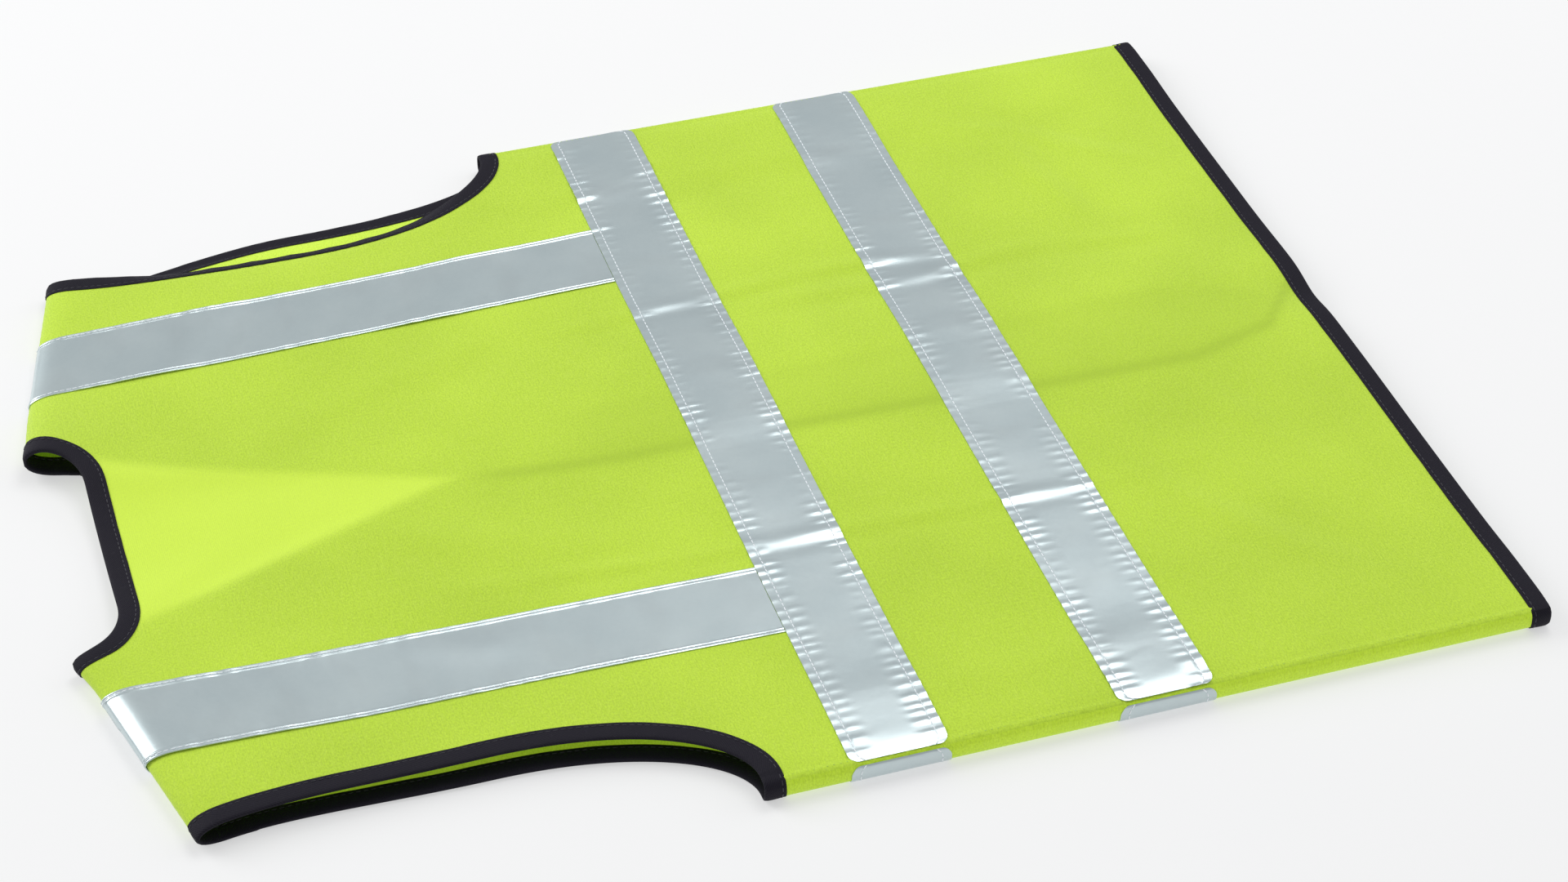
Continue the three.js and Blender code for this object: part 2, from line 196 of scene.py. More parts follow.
def armholeCurve(narrowX):
    foot, below, above, top = cut["armHandles"]
    narrow = np.array([narrowX, footY + cut["armholeTurn"]])
    upper = shoulderEnd[1] - narrow[1]
    lowHandle = [sideX - foot * (sideX - narrowX), footY]
    lower = bezier([sideX, footY], lowHandle, [narrowX, footY + below * cut["armholeTurn"]], narrow)
    handle = [narrowX, narrow[1] + above * upper]
    return joined(lower, bezier(narrow, handle, shoulderEnd - top * upper * over, shoulderEnd))


def backNeckCurve():
    handle = [cut["backNeckFlat"] + 0.6 * (cut["neckHalfWidth"] - cut["backNeckFlat"]), backNeckY]
    first = neckEnd - 0.55 * cut["backNeckDrop"] * over
    return bezier(neckEnd, first, handle, [cut["backNeckFlat"], backNeckY])


def frontNeckCurve():
    x = cut["frontEdgeX"]
    drop = cut["frontNeckDrop"]
    return bezier(neckEnd, neckEnd - 0.2 * drop * over, [x, breakY + 0.24 * drop], [x, breakY], 60)


def frontEdgeCurve():
    r = cut["frontCorner"]
    turn = np.linspace(0, math.pi / 2, 31)
    x = cut["frontEdgeX"] + r - r * np.cos(turn)
    y = hemY + r - r * np.sin(turn)
    return np.stack([x, y], axis=1)


backArmhole = armholeCurve(cut["backNarrowX"])
frontArmholes = {hand: armholeCurve(x) for hand, x in cut["frontNarrowX"].items()}
backNeck = backNeckCurve()
frontNeck = frontNeckCurve()
frontEdge = frontEdgeCurve()


def ease(t):
    t = np.clip(t, 0, 1)
    return t * t * (3 - 2 * t)


# A smooth number between -1 and 1 for each place, the same one each time
def ripple(x, y, cell, seed):
    table = np.random.default_rng(seed).uniform(-1, 1, (61, 67))
    u, v = np.asarray(x, float) / cell + 400, np.asarray(y, float) / cell + 400
    i, j = np.floor(u).astype(int), np.floor(v).astype(int)
    s, t = ease(u - i), ease(v - j)

    def pick(a, b):
        return table[a % 61, b % 67]

    low = pick(i, j) * (1 - s) + pick(i + 1, j) * s
    high = pick(i, j + 1) * (1 - s) + pick(i + 1, j + 1) * s
    return low * (1 - t) + high * t


# Folds: half a rounded outline from the back's level to the front's. square is 2 for an ellipse
# and more for a flatter side.
class Fold:
    def __init__(self, reach, square, droop=0.0, droopLong=1.0):
        self.droop, self.droopLong = droop, droopLong
        self.centre = foldRise - reach
        turn = np.linspace(0, math.pi, 1441)
        h = reach * np.sin(turn) ** (2 / square)
        z = foldRise * np.sign(np.cos(turn)) * np.abs(np.cos(turn)) ** (2 / square)
        run = lengths(np.stack([h, z], axis=1))
        self.length = run[-1]
        self.run = np.linspace(0, self.length, 181)
        self.h, self.z = np.interp(self.run, run, h), np.interp(self.run, run, z)
        nh, nz = -np.gradient(self.z), np.gradient(self.h)
        nh[0] = nh[-1] = 0
        self.angle = np.unwrap(np.arctan2(nh, nz))

    # run is the way along the cloth from the fold's start, and lift the way off its outer face
    def place(self, run, lift):
        angle = np.interp(run, self.run, self.angle)
        h = self.centre + np.interp(run, self.run, self.h) + np.sin(angle) * lift
        z = foldZ + np.interp(run, self.run, self.z) + np.cos(angle) * lift
        fall = np.clip(1 + run / self.droopLong, 0, 1) ** 3 * np.clip(1 - run / self.length, 0, 1)
        z = z - self.droop * fall
        return h + np.minimum(run, 0) - np.maximum(run - self.length, 0), z


sideFold = Fold(folds["sideReach"], folds["sideSquare"], folds["sideDroop"], folds["droopLong"])
shoulderFold = Fold(folds["shoulderReach"], folds["shoulderSquare"])
foldStartX = sideX + sideFold.centre
seamRun = float(np.interp(math.radians(cut["seamAngle"]), sideFold.angle, sideFold.run))


# How far the back sinks or rises where it lies on the fronts. The V is where no front lies below,
# and the ridge is the edge of the front beneath.
vShape = {"apex": (-10.0, 142.0), "right": (58.0, 318.0), "left": (-74.0, 318.0), "long": 180.0}
ridgeLine = {
    "y": [-340, -315, -265, -172, -115, -35, 55, 85, 142],
    "x": [18, -14, -29, -27, -22, -20, -19, -17, -10],
}
relief = {
    "sag": 1.5,
    "vSag": 3.4,
    "vEdge": 9.0,
    "lap": 1.0,
    "lapEdge": 15.0,
    "lapInnerX": 34.0,
    "lapTop": 60.0,
    "under": 0.35,
    "waves": 0.7,
    "waveSizes": (130, 62, 24, 150),
    "rib": 0.14,
    "hemDip": 2.4,
    "dipX": 4.0,
    "dipSize": (15.0, 16.0),
    "calmSide": 70.0,
    "calmNeck": 60.0,
    "calmShoulder": 95.0,
}
creaseLook = {"bow": 6.0, "fade": 0.12, "fadeLong": 0.3, "valley": 0.45, "valleyPlace": 1.7, "uneven": 26}
# Soft creases: the two ends, the width and the height
creases = [
    ((-98, 150), (-110, -190), 4.8, 0.85),
    ((100, 60), (108, -175), 5.0, 0.95),
    ((88, -60), (86, -290), 6.0, 0.7),
    ((-215, -268), (-108, -200), 9.0, 0.9),
    ((-150, -300), (-62, -262), 9.0, 0.6),
    ((104, -262), (196, -236), 8.0, 0.8),
    ((150, -310), (222, -215), 7.0, 0.6),
    ((-232, 20), (-226, -190), 10.0, 0.6),
    ((212, 30), (216, -150), 9.0, 0.7),
    ((-40, 190), (-92, 60), 12.0, 0.7),
    ((44, 236), (112, 90), 12.0, 0.6),
    ((-150, 140), (-104, 262), 10.0, 0.5),
]


def creaseHeight(x, y):
    height = np.zeros_like(x)
    for (x0, y0), (x1, y1), width, rise in creases:
        dx, dy = x1 - x0, y1 - y0
        size = math.hypot(dx, dy)
        t = ((x - x0) * dx + (y - y0) * dy) / size / size
        bow = creaseLook["bow"] * ripple(t * 3, np.full_like(t, x0), 1.0, 11)
        away = ((x - x0) * dy - (y - y0) * dx) / size + bow
        fade, long = creaseLook["fade"], creaseLook["fadeLong"]
        share = ease((t + fade) / long) * ease((1 + fade - t) / long)
        side = np.exp(-(((away - creaseLook["valleyPlace"] * width) / width) ** 2))
        share = share * rise * (0.75 + 0.5 * ripple(x, y, creaseLook["uneven"], 12))
        height += share * (np.exp(-((away / width) ** 2)) - creaseLook["valley"] * side)
    return height


def beyondLine(x, y, a, b):
    dx, dy = b[0] - a[0], b[1] - a[1]
    return ((x - a[0]) * dy - (y - a[1]) * dx) / math.hypot(dx, dy)


# How far a place is inside the V of the necklines
def insideV(x, y):
    return np.minimum(
        -beyondLine(x, y, vShape["apex"], vShape["right"]),
        beyondLine(x, y, vShape["apex"], vShape["left"]),
    )


def lyingShape(x, y):
    fall = np.clip((y - vShape["apex"][1]) / vShape["long"], 0, 1)
    height = -relief["sag"] * np.ones_like(x)
    height -= relief["vSag"] * fall * ease(insideV(x, y) / (relief["vEdge"] * (0.4 + 1.6 * fall)) + 0.15)
    edge = np.interp(y, ridgeLine["y"], ridgeLine["x"])
    width = relief["lapEdge"]
    lap = ease((x - edge + width) / (2 * width)) * (1 - ease((x - relief["lapInnerX"]) / 60))
    lap *= 1 - ease((y - relief["lapTop"]) / 100)
    height += relief["lap"] * lap
    under = ease((x - 26) / 9 + 0.5) * (1 - ease((x - 30) / 50)) * (1 - ease((y + 60) / 160))
    height += relief["under"] * under
    broad, small, narrow, patchy = relief["waveSizes"]
    waves = ripple(x + 0.3 * y, y, broad, 3) + 0.5 * ripple(x - 0.4 * y, 0.6 * y, small, 4)
    height += relief["waves"] * waves
    long = ripple(0.22 * x, 0.9 * y - 0.25 * x, narrow, 5) * (0.5 + 0.5 * ripple(x, y, patchy, 6))
    return height + relief["rib"] * long


# The way up over the shoulder from the neck's end, on either side
def overShoulder(x, y):
    return (np.abs(x) - neckEnd[0]) * over[0] + (y - neckEnd[1]) * over[1]


# 0 at the folds, where the cloth is held, and 1 further in
def edgeMask(x, y):
    side = (foldStartX - np.abs(x)) / relief["calmSide"]
    beside = np.maximum(cut["neckHalfWidth"] - 6 - np.abs(x), 0) / relief["calmNeck"]
    shoulder = (shoulderFold.centre - overShoulder(x, y)) / relief["calmShoulder"]
    return ease(side) * ease(np.maximum(shoulder, beside))


settled = {"grid": None}


def sagOf(x, y):
    mask = edgeMask(x, y)
    if settled["grid"] is None:
        height = lyingShape(x, y) * mask
    else:
        height = fieldAt(settled, x, y) * ease(mask * 4)
    wide, long = relief["dipSize"]
    hem = np.exp(-(((x - relief["dipX"]) / wide) ** 2)) * np.exp(-(((y - hemY) / long) ** 2))
    return height + mask * creaseHeight(x, y) - relief["hemDip"] * hem


def smoothed(grid, turns):
    for turn in range(turns):
        wide = np.pad(grid, 1, mode="edge")
        around = wide[:-2, 1:-1] + wide[2:, 1:-1] + wide[1:-1, :-2] + wide[1:-1, 2:]
        grid = 0.5 * grid + 0.125 * around
    return grid


def fieldAt(field, x, y):
    grid = field["grid"]
    u = np.clip((x - field["x0"]) / field["step"], 0, grid.shape[0] - 1.001)
    v = np.clip((y - field["y0"]) / field["step"], 0, grid.shape[1] - 1.001)
    i, j = u.astype(int), v.astype(int)
    s, t = u - i, v - j
    low = grid[i, j] * (1 - s) + grid[i + 1, j] * s
    high = grid[i, j + 1] * (1 - s) + grid[i + 1, j + 1] * s
    return low * (1 - t) + high * t


# The right armhole's edges roll down towards the floor
curl = {
    "reach": 13.0,
    "backDrop": 6.0,
    "frontRise": 3.4,
    "innerWide": 26.0,
    "innerPlace": 34.0,
    "foot": 6.0,
    "footLong": 55.0,
    "top": 12.0,
    "topLong": 60.0,
}


def curlSpan(y):
    foot = ease((y - footY - curl["foot"]) / curl["footLong"])
    return foot * ease((shoulderEnd[1] - curl["top"] - y) / curl["topLong"])


def nearArmhole(x, y, line):
    away = np.full(x.shape, 1e3)
    low, high = line.min(0) - curl["reach"], line.max(0) + curl["reach"]
    close = np.where((x > low[0]) & (y > low[1]) & (y < high[1]))[0]
    points = spaced(line, 2.0)
    for start in range(0, len(close), 2000):
        part = close[start : start + 2000]
        here = np.stack([x[part], y[part]], axis=1)
        away[part] = np.linalg.norm(here[:, None] - points[None], axis=2).min(1)
    share = np.clip(1 - away / curl["reach"], 0, 1) ** 2
    return share * curlSpan(y)


# The neck lies a little to the left, and its right corner stands up in a loop
neckLie = {"shift": -8.0, "shiftFrom": 215.0, "loop": 6.0, "loopWide": 30.0, "loopFrom": 285.0}


def shifted(places, lean):
    x, y, z = places[:, 0], places[:, 1], places[:, 2]
    outside = np.abs(lean) - cut["neckHalfWidth"]
    share = ease((y - neckLie["shiftFrom"]) / 105) * (1 - ease(outside / 36))
    loop = np.exp(-(((lean - cut["neckHalfWidth"]) / neckLie["loopWide"]) ** 2))
    loop = loop * ease((y - neckLie["loopFrom"]) / 60)
    taller = 1 + neckLie["loop"] * loop / (backZ + clothHalf)
    return np.stack([x + neckLie["shift"] * share, y, z * taller], axis=1)


# Laying flat drawings out in space. p is a list of places; lift is the way off the outer face.
def layBack(p, lift):
    p = np.asarray(p, float)
    lift = np.broadcast_to(np.asarray(lift, float), p.shape[:1])
    x, y = p[:, 0], p[:, 1]
    side = np.where(x < 0, -1.0, 1.0)
    ax = np.abs(x)
    sag = sagOf(x, y) - curl["backDrop"] * nearArmhole(x, y, backArmhole)
    h, z = sideFold.place(ax - foldStartX, lift)
    px = side * (foldStartX - sideFold.centre + h)
    made = np.stack([px, y, z + sag], axis=1)
    d = overShoulder(x, y)
    overFold = (d > shoulderFold.centre) & (y > footY + 100) & (ax > 60)
    h, z = shoulderFold.place(d - shoulderFold.centre, lift)
    move = h - d
    wrapped = np.stack([x + side * over[0] * move, y + over[1] * move, z + sag], axis=1)
    made[overFold] = wrapped[overFold]
    return shifted(made, x)


def climb(x, side):
    if side < 0:
        return 0
    return lapRise * np.clip((cut["rampFoot"] - x) / (cut["rampFoot"] - cut["rampHead"]), 0, 1)


loft = {"height": 0.35, "size": 70, "calmSide": 40}


def frontLoft(x, y):
    calm = ease((foldStartX - np.abs(x)) / loft["calmSide"])
    return calm * loft["height"] * (1 + ripple(x, y, loft["size"], 8))


# On a front sheet, the first number is the way from the middle line, and goes on round the fold.
def layFront(side, p, lift):
    p = np.asarray(p, float)
    lift = np.broadcast_to(np.asarray(lift, float), p.shape[:1])
    a, y = p[:, 0], p[:, 1]
    h, z = sideFold.place(sideFold.length - (a - foldStartX), lift)
    x = foldStartX - sideFold.centre + h
    z = z + climb(a, side) + frontLoft(side * a, y)
    if side > 0:
        line = frontArmholes["right"]
        away = a - cut["frontNarrowX"]["right"] + curl["innerPlace"]
        inside = np.exp(-((away / curl["innerWide"]) ** 2)) * curlSpan(y)
        z = z + curl["frontRise"] * np.maximum(inside - 1.35 * nearArmhole(a, y, line), 0)
    return shifted(np.stack([side * x, y, z], axis=1), side * a)


def onFront(side):
    return lambda p, lift: layFront(side, p, lift)


def behindFold(line):
    return -((line[:, 0] - neckEnd[0]) * over[0] + (line[:, 1] - neckEnd[1]) * over[1])


# A place on the front below the shoulder fold, on the back sheet's own flat drawing
def onYoke(p):
    ahead = behindFold(p) * 2 + shoulderFold.length + 2 * shoulderFold.centre
    return p + ahead[:, None] * over


# A drawing filled with even triangles, smaller where isFine says so
def triangulated(outline, step, fineStep, isFine):
    outline = spaced(outline, min(step, 2.4), closed=True)
    low, high = outline.min(0), outline.max(0)

    def lattice(gap):
        xs = np.arange(low[0] + gap / 2, high[0], gap)
        ys = np.arange(low[1] + gap / 2, high[1], gap * 0.866)
        gx, gy = np.meshgrid(xs, ys)
        gx = gx + (np.arange(len(ys)) % 2)[:, None] * gap / 2
        return np.stack([gx.ravel(), gy.ravel()], axis=1)

    wide, fine = lattice(step), lattice(fineStep)
    inner = np.concatenate([wide[~isFine(wide)], fine[isFine(fine)]])
    inner = inner[insideOf(inner, outline)]
    inner = inner[awayFrom(inner, outline, 0.45 * fineStep + 0.5)]
    points = np.concatenate([outline, inner])
    count = len(outline)
    made = delaunay_2d_cdt([Vector(p) for p in points], [], [list(range(count))], 1, 1e-4)
    corners = np.array([tuple(v) for v in made[0]], float)
    faces = np.array([f for f in made[2] if len(f) == 3], int)
    a, b, c = (corners[faces[:, k]] for k in range(3))
    turned = (b - a)[:, 0] * (c - a)[:, 1] - (b - a)[:, 1] * (c - a)[:, 0] < 0
    faces[turned] = faces[turned][:, ::-1]
    return corners, faces


def insideOf(points, outline):
    inside = np.zeros(len(points), bool)
    for a, b in zip(outline, np.roll(outline, -1, axis=0)):
        cross = (a[1] > points[:, 1]) != (b[1] > points[:, 1])
        rise = b[1] - a[1] if b[1] != a[1] else 1e-9
        inside ^= cross & (points[:, 0] < a[0] + (b[0] - a[0]) * (points[:, 1] - a[1]) / rise)
    return inside


def awayFrom(points, outline, gap):
    keep = np.ones(len(points), bool)
    for start in range(0, len(outline), 64):
        part = outline[start : start + 64]
        low, high = part.min(0) - gap, part.max(0) + gap
        near = np.where(((points > low) & (points < high)).all(1))[0]
        if len(near):
            far = np.linalg.norm(points[near][:, None] - part[None], axis=2).min(1)
            keep[near[far < gap]] = False
    return keep


# The first corner of each cell in a grid of places
def gridCorners(rows, columns):
    i, j = np.meshgrid(np.arange(rows - 1), np.arange(columns - 1), indexing="ij")
    return (i * columns + j).ravel()


# A closed sheet: outer and inner face of the same drawing, joined round its border
def sheetFaces(faces, count):
    directed = np.concatenate([faces[:, [0, 1]], faces[:, [1, 2]], faces[:, [2, 0]]])
    known = set(map(tuple, directed.tolist()))
    rim = [(a, b) for a, b in directed.tolist() if (b, a) not in known]
    made = faces.tolist() + (faces[:, ::-1] + count).tolist()
    return made + [[b, a, a + count, b + count] for a, b in rim]


def makePiece(name, places, faces, drawing, material):
    mesh = bpy.data.meshes.new(name)
    mesh.from_pydata((np.asarray(places) * mm).tolist(), [], faces)
    flat = np.zeros((len(places), 3), np.float32)
    flat[:, : drawing.shape[1]] = drawing
    layer = mesh.attributes.new("flat", "FLOAT_VECTOR", "POINT")
    layer.data.foreach_set("vector", (flat * mm).ravel())
    mesh.validate()
    mesh.shade_smooth()
    mesh.set_sharp_from_angle(angle=math.radians(50))
    mesh.materials.append(material)
    item = bpy.data.objects.new(name, mesh)
    bpy.context.scene.collection.objects.link(item)
    return item


# A sheet from its outline; lay puts the drawing into space
def makeSheet(name, outline, lay, steps, isFine, lifts, material):
    drawing, faces = triangulated(outline, steps[0], steps[1], isFine)
    outer, inner = lay(drawing, lifts[0]), lay(drawing, lifts[1])
    places = np.concatenate([outer, inner])
    if facesIn(outer, inner, faces):
        faces = faces[:, ::-1]
    both = np.concatenate([drawing, drawing])
    return makePiece(name, places, sheetFaces(faces, len(drawing)), both, material)


def facesIn(outer, inner, faces):
    a, b, c = (outer[faces[:, k]] for k in range(3))
    out = outer - inner
    return (np.cross(b - a, c - a) * out[faces[:, 0]]).sum() < 0


# A long strip with the same section at each station. rows holds each station's places.
def stripFaces(stations, size, closed):
    last = stations if closed else stations - 1
    made = []
    for i in range(last):
        for j in range(size):
            k, n = (i + 1) % stations, (j + 1) % size
            made.append([i * size + j, k * size + j, k * size + n, i * size + n])
    if not closed:
        made.append(list(range(size)))
        made.append([(stations - 1) * size + j for j in reversed(range(size))])
    return made


def volumeOf(places, faces):
    total = 0.0
    for f in faces:
        a = places[f[0]]
        for k in range(1, len(f) - 1):
            total += float(np.dot(a, np.cross(places[f[k]], places[f[k + 1]])))
    return total


# Materials. Each starts from the flat drawing, so that its grain follows the cloth.
class Shader:
    def __init__(self, name, roughness, metallic=0.0, sheen=0.0):
        self.material = bpy.data.materials.new(name)
        self.material.use_nodes = True
        self.tree = self.material.node_tree
        self.main = self.tree.nodes["Principled BSDF"]
        self.main.inputs["Roughness"].default_value = roughness
        self.main.inputs["Metallic"].default_value = metallic
        self.main.inputs["Sheen Weight"].default_value = sheen
        self.main.inputs["Sheen Roughness"].default_value = 0.5
        self.flat = self.add("ShaderNodeAttribute", attribute_name="flat").outputs["Vector"]

    def add(self, kind, **settings):
        node = self.tree.nodes.new(kind)
        for key, value in settings.items():
            setattr(node, key, value)
        return node

    def link(self, out, to):
        self.tree.links.new(out, to)

    # A number kept on the mesh; it is 0 on a piece that has none
    def layer(self, name):
        return self.add("ShaderNodeAttribute", attribute_name=name).outputs["Fac"]

    def moved(self, scale=(1, 1, 1), turn=0.0):
        node = self.add("ShaderNodeMapping")
        node.inputs["Scale"].default_value = scale
        node.inputs["Rotation"].default_value = (0, 0, turn)
        self.link(self.flat, node.inputs["Vector"])
        return node.outputs["Vector"]

    def noise(self, scale, detail=3.0, stretch=(1, 1, 1), turn=0.0):
        node = self.add("ShaderNodeTexNoise")
        node.inputs["Scale"].default_value = scale
        node.inputs["Detail"].default_value = detail
        self.link(self.moved(stretch, turn), node.inputs["Vector"])
        return node.outputs["Fac"]

    # Even ribs; gap is the way from one to the next, in millimetres
    def ribs(self, gap, turn=0.0, wander=0.0):
        node = self.add("ShaderNodeTexWave")
        node.inputs["Scale"].default_value = math.pi / 10 / (gap * mm)
        node.inputs["Distortion"].default_value = wander
        node.inputs["Detail"].default_value = 1.0
        self.link(self.moved(turn=turn), node.inputs["Vector"])
        return node.outputs["Fac"]

    def sum(self, a, b, kind="ADD", share=1.0):
        node = self.add("ShaderNodeMath", operation="MULTIPLY")
        self.link(b, node.inputs[0])
        node.inputs[1].default_value = share
        both = self.add("ShaderNodeMath", operation=kind)
        self.link(a, both.inputs[0])
        self.link(node.outputs[0], both.inputs[1])
        return both.outputs[0]

    def scaled(self, value, low, high, fromLow=0.3, fromHigh=0.7):
        node = self.add("ShaderNodeMapRange")
        node.inputs["From Min"].default_value = fromLow
        node.inputs["From Max"].default_value = fromHigh
        node.inputs["To Min"].default_value = low
        node.inputs["To Max"].default_value = high
        self.link(value, node.inputs["Value"])
        return node.outputs["Result"]

    def mixed(self, factor, a, b):
        node = self.add("ShaderNodeMix", data_type="RGBA")
        self.link(factor, node.inputs["Factor"])
        for key, value in (("A", a), ("B", b)):
            socket = [s for s in node.inputs if s.name == key and s.type == "RGBA"][0]
            if isinstance(value, tuple):
                socket.default_value = (*value, 1)
            else:
                self.link(value, socket)
        return [s for s in node.outputs if s.type == "RGBA"][0]

    def colour(self, value, glow=0.0):
        self.link(value, self.main.inputs["Base Color"])
        if glow:
            self.link(value, self.main.inputs["Emission Color"])
            self.main.inputs["Emission Strength"].default_value = glow

    def bump(self, heights):
        last = None
        for height, strength, depth in heights:
            node = self.add("ShaderNodeBump")
            node.inputs["Strength"].default_value = strength
            node.inputs["Distance"].default_value = depth * mm
            self.link(height, node.inputs["Height"])
            if last is not None:
                self.link(last, node.inputs["Normal"])
            last = node.outputs["Normal"]
        self.link(last, self.main.inputs["Normal"])


clothLook = {
    "light": (0.590, 0.825, 0.041),
    "deep": (0.380, 0.565, 0.014),
    # The next two colours are painted see-through light (single layer, lighter) and painted see-through
    # shade (over the fronts' overlap and edge, darker)
    "bare": (0.720, 0.960, 0.075),
    "paintedThroughShade": (0.370, 0.540, 0.018),
    "glow": 0.05,
    # The fronts' stronger glow is painted light: light passing through the thin back cloth onto them,
    # seen in the armhole and neck gaps
    "paintedGapGlow": 0.26,
    "ribGap": 1.25,
    "grain": 700.0,
    "worn": (0.80, 0.94, 0.20),
    "roughness": 0.82,
    "sheen": 0.22,
}


def makeClothMaterial(name, glow):
    look = Shader(name, clothLook["roughness"], sheen=clothLook["sheen"])
    grain = look.noise(clothLook["grain"], 2.0, (1, 1.6, 1))
    slub = look.noise(260.0, 2.0, (0.6, 2.0, 1))
    broad = look.noise(9.0, 2.0)
    ribs = look.ribs(clothLook["ribGap"], 0.0, 0.6)
    rows = look.ribs(clothLook["ribGap"] * 0.8, math.pi / 2, 0.6)
    weave = look.sum(ribs, rows, "MULTIPLY")
    shade = look.sum(look.scaled(grain, 0, 0.62), look.scaled(broad, 0, 0.38))
    colour = look.mixed(shade, clothLook["deep"], clothLook["light"])
    worn = look.scaled(look.sum(slub, weave, share=0.3), 0, 0.10, 0.45, 0.9)
    colour = look.mixed(worn, colour, clothLook["worn"])
    # Painted see-through light and shade on the back cloth, mixed in from the two layer masks
    colour = look.mixed(look.layer("bare"), colour, clothLook["bare"])
    look.colour(look.mixed(look.layer("paintedThroughShade"), colour, clothLook["paintedThroughShade"]), glow)
    look.link(look.scaled(grain, 0.76, 0.9), look.main.inputs["Roughness"])
    look.bump([(slub, 0.05, 0.5), (weave, 0.35, 0.16), (grain, 0.5, 0.24)])
    return look.material


tapeLook = {
    "light": (0.652, 0.742, 0.750),
    "deep": (0.573, 0.666, 0.682),
    "dull": (0.500, 0.555, 0.560),
    "metallic": 0.62,
    "roughness": 0.288,
}


def makeTapeMaterial():
    look = Shader("reflectiveTape", tapeLook["roughness"], tapeLook["metallic"])
    cells = look.noise(420.0, 2.0)
    broad = look.noise(26.0, 3.0)
    creases = look.noise(60.0, 1.5, (1.0, 0.22, 1))
    tone = look.sum(look.scaled(broad, 0, 0.85), look.scaled(cells, 0, 0.15))
    colour = look.mixed(tone, tapeLook["deep"], tapeLook["light"])
    scuffs = look.scaled(look.noise(40.0, 2.5, (1, 0.5, 1)), 0, 0.30, 0.50, 0.80)
    look.colour(look.mixed(scuffs, colour, tapeLook["dull"]))
    low, high = tapeLook["roughness"] - 0.01, tapeLook["roughness"] + 0.01
    look.link(look.scaled(cells, low, high), look.main.inputs["Roughness"])
    look.bump([(creases, 0.09, 0.9), (cells, 0.02, 0.25)])
    return look.material


bindingLook = {
    "light": (0.0120, 0.0095, 0.0190),
    "deep": (0.0045, 0.0038, 0.0085),
    "lint": (0.030, 0.027, 0.040),
    "twillGap": 0.9,
    "specular": 0.25,
}


def makeBindingMaterial():
    look = Shader("bindingTape", 0.85)
    look.main.inputs["Specular IOR Level"].default_value = bindingLook["specular"]
    twill = look.ribs(bindingLook["twillGap"], 0.9, 0.3)
    cross = look.ribs(bindingLook["twillGap"] * 0.7, -0.65, 0.3)
    fibre = look.noise(1200.0, 3.0)
    lint = look.scaled(look.noise(420.0, 3.0, (1, 0.3, 1), 0.4), 0, 0.5, 0.66, 0.80)
    tone = look.sum(look.scaled(twill, 0, 0.6, 0, 1), look.scaled(fibre, 0, 0.4))
    colour = look.mixed(tone, bindingLook["deep"], bindingLook["light"])
    look.colour(look.mixed(lint, colour, bindingLook["lint"]))
    look.link(look.scaled(fibre, 0.66, 0.84), look.main.inputs["Roughness"])
    look.bump([(twill, 0.4, 0.18), (cross, 0.2, 0.12), (fibre, 0.35, 0.12)])
    return look.material


def makeThreadMaterial(name, light, deep, glow=0.0):
    look = Shader(name, 0.5, sheen=0.2)
    ply = look.ribs(0.35, 0.7, 0.2)
    look.colour(look.mixed(look.scaled(ply, 0, 1, 0, 1), deep, light), glow)
    look.link(look.scaled(look.noise(900.0), 0.4, 0.6), look.main.inputs["Roughness"])
    look.bump([(ply, 0.5, 0.1), (look.noise(2500.0), 0.3, 0.05)])
    return look.material


closureLook = {"light": (0.55, 0.76, 0.12), "deep": (0.33, 0.52, 0.05), "rowGap": 1.6}
labelLook = {"light": (0.90, 0.90, 0.88), "deep": (0.78, 0.78, 0.75), "warpGap": 0.5}
threadLook = {
    # The silver thread's glow is a painted glint, standing in for the light its shiny fibres catch
    "silver": {"light": (0.90, 0.93, 0.95), "deep": (0.66, 0.70, 0.73), "glow": 0.25},
    "dark": {"light": (0.028, 0.025, 0.040), "deep": (0.010, 0.009, 0.016)},
    "cloth": {"light": (0.60, 0.84, 0.12), "deep": (0.40, 0.62, 0.05)},
}


def makeClosureMaterial():
    look = Shader("closureTape", 0.92, sheen=0.3)
    nap = look.noise(1100.0, 4.0)
    rows = look.ribs(closureLook["rowGap"], 0.0, 1.0)
    tone = look.sum(look.scaled(nap, 0, 0.7), look.scaled(rows, 0, 0.3, 0, 1))
    look.colour(look.mixed(tone, closureLook["deep"], closureLook["light"]))
    look.link(look.scaled(nap, 0.84, 0.96), look.main.inputs["Roughness"])
    look.bump([(rows, 0.4, 0.3), (nap, 0.6, 0.3)])
    return look.material


def makeLabelMaterial():
    look = Shader("labelSatin", 0.5, sheen=0.1)
    warp = look.ribs(labelLook["warpGap"], 0.0, 0.2)
    fibre = look.noise(1500.0, 2.0)
    tone = look.sum(look.scaled(warp, 0, 0.5, 0, 1), look.scaled(fibre, 0, 0.5))
    look.colour(look.mixed(tone, labelLook["deep"], labelLook["light"]))
    look.link(look.scaled(fibre, 0.42, 0.6), look.main.inputs["Roughness"])
    look.bump([(warp, 0.3, 0.08), (fibre, 0.2, 0.05)])
    return look.material


clothMaterial = makeClothMaterial("vestCloth", clothLook["glow"])
# The front cloth is the same cloth with a stronger glow, painted light for what shines through the back
# cloth into the gaps
frontMaterial = makeClothMaterial("frontClothPaintedGlow", clothLook["paintedGapGlow"])
tapeMaterial = makeTapeMaterial()
bindingMaterial = makeBindingMaterial()
closureMaterial = makeClosureMaterial()
labelMaterial = makeLabelMaterial()
silverThread = makeThreadMaterial("silverThread", **threadLook["silver"])
darkThread = makeThreadMaterial("darkThread", **threadLook["dark"])
clothThread = makeThreadMaterial("clothThread", **threadLook["cloth"])
print("materials made")


def mirrored(line):
    return np.asarray(line, float)[::-1] * np.array([-1.0, 1.0])


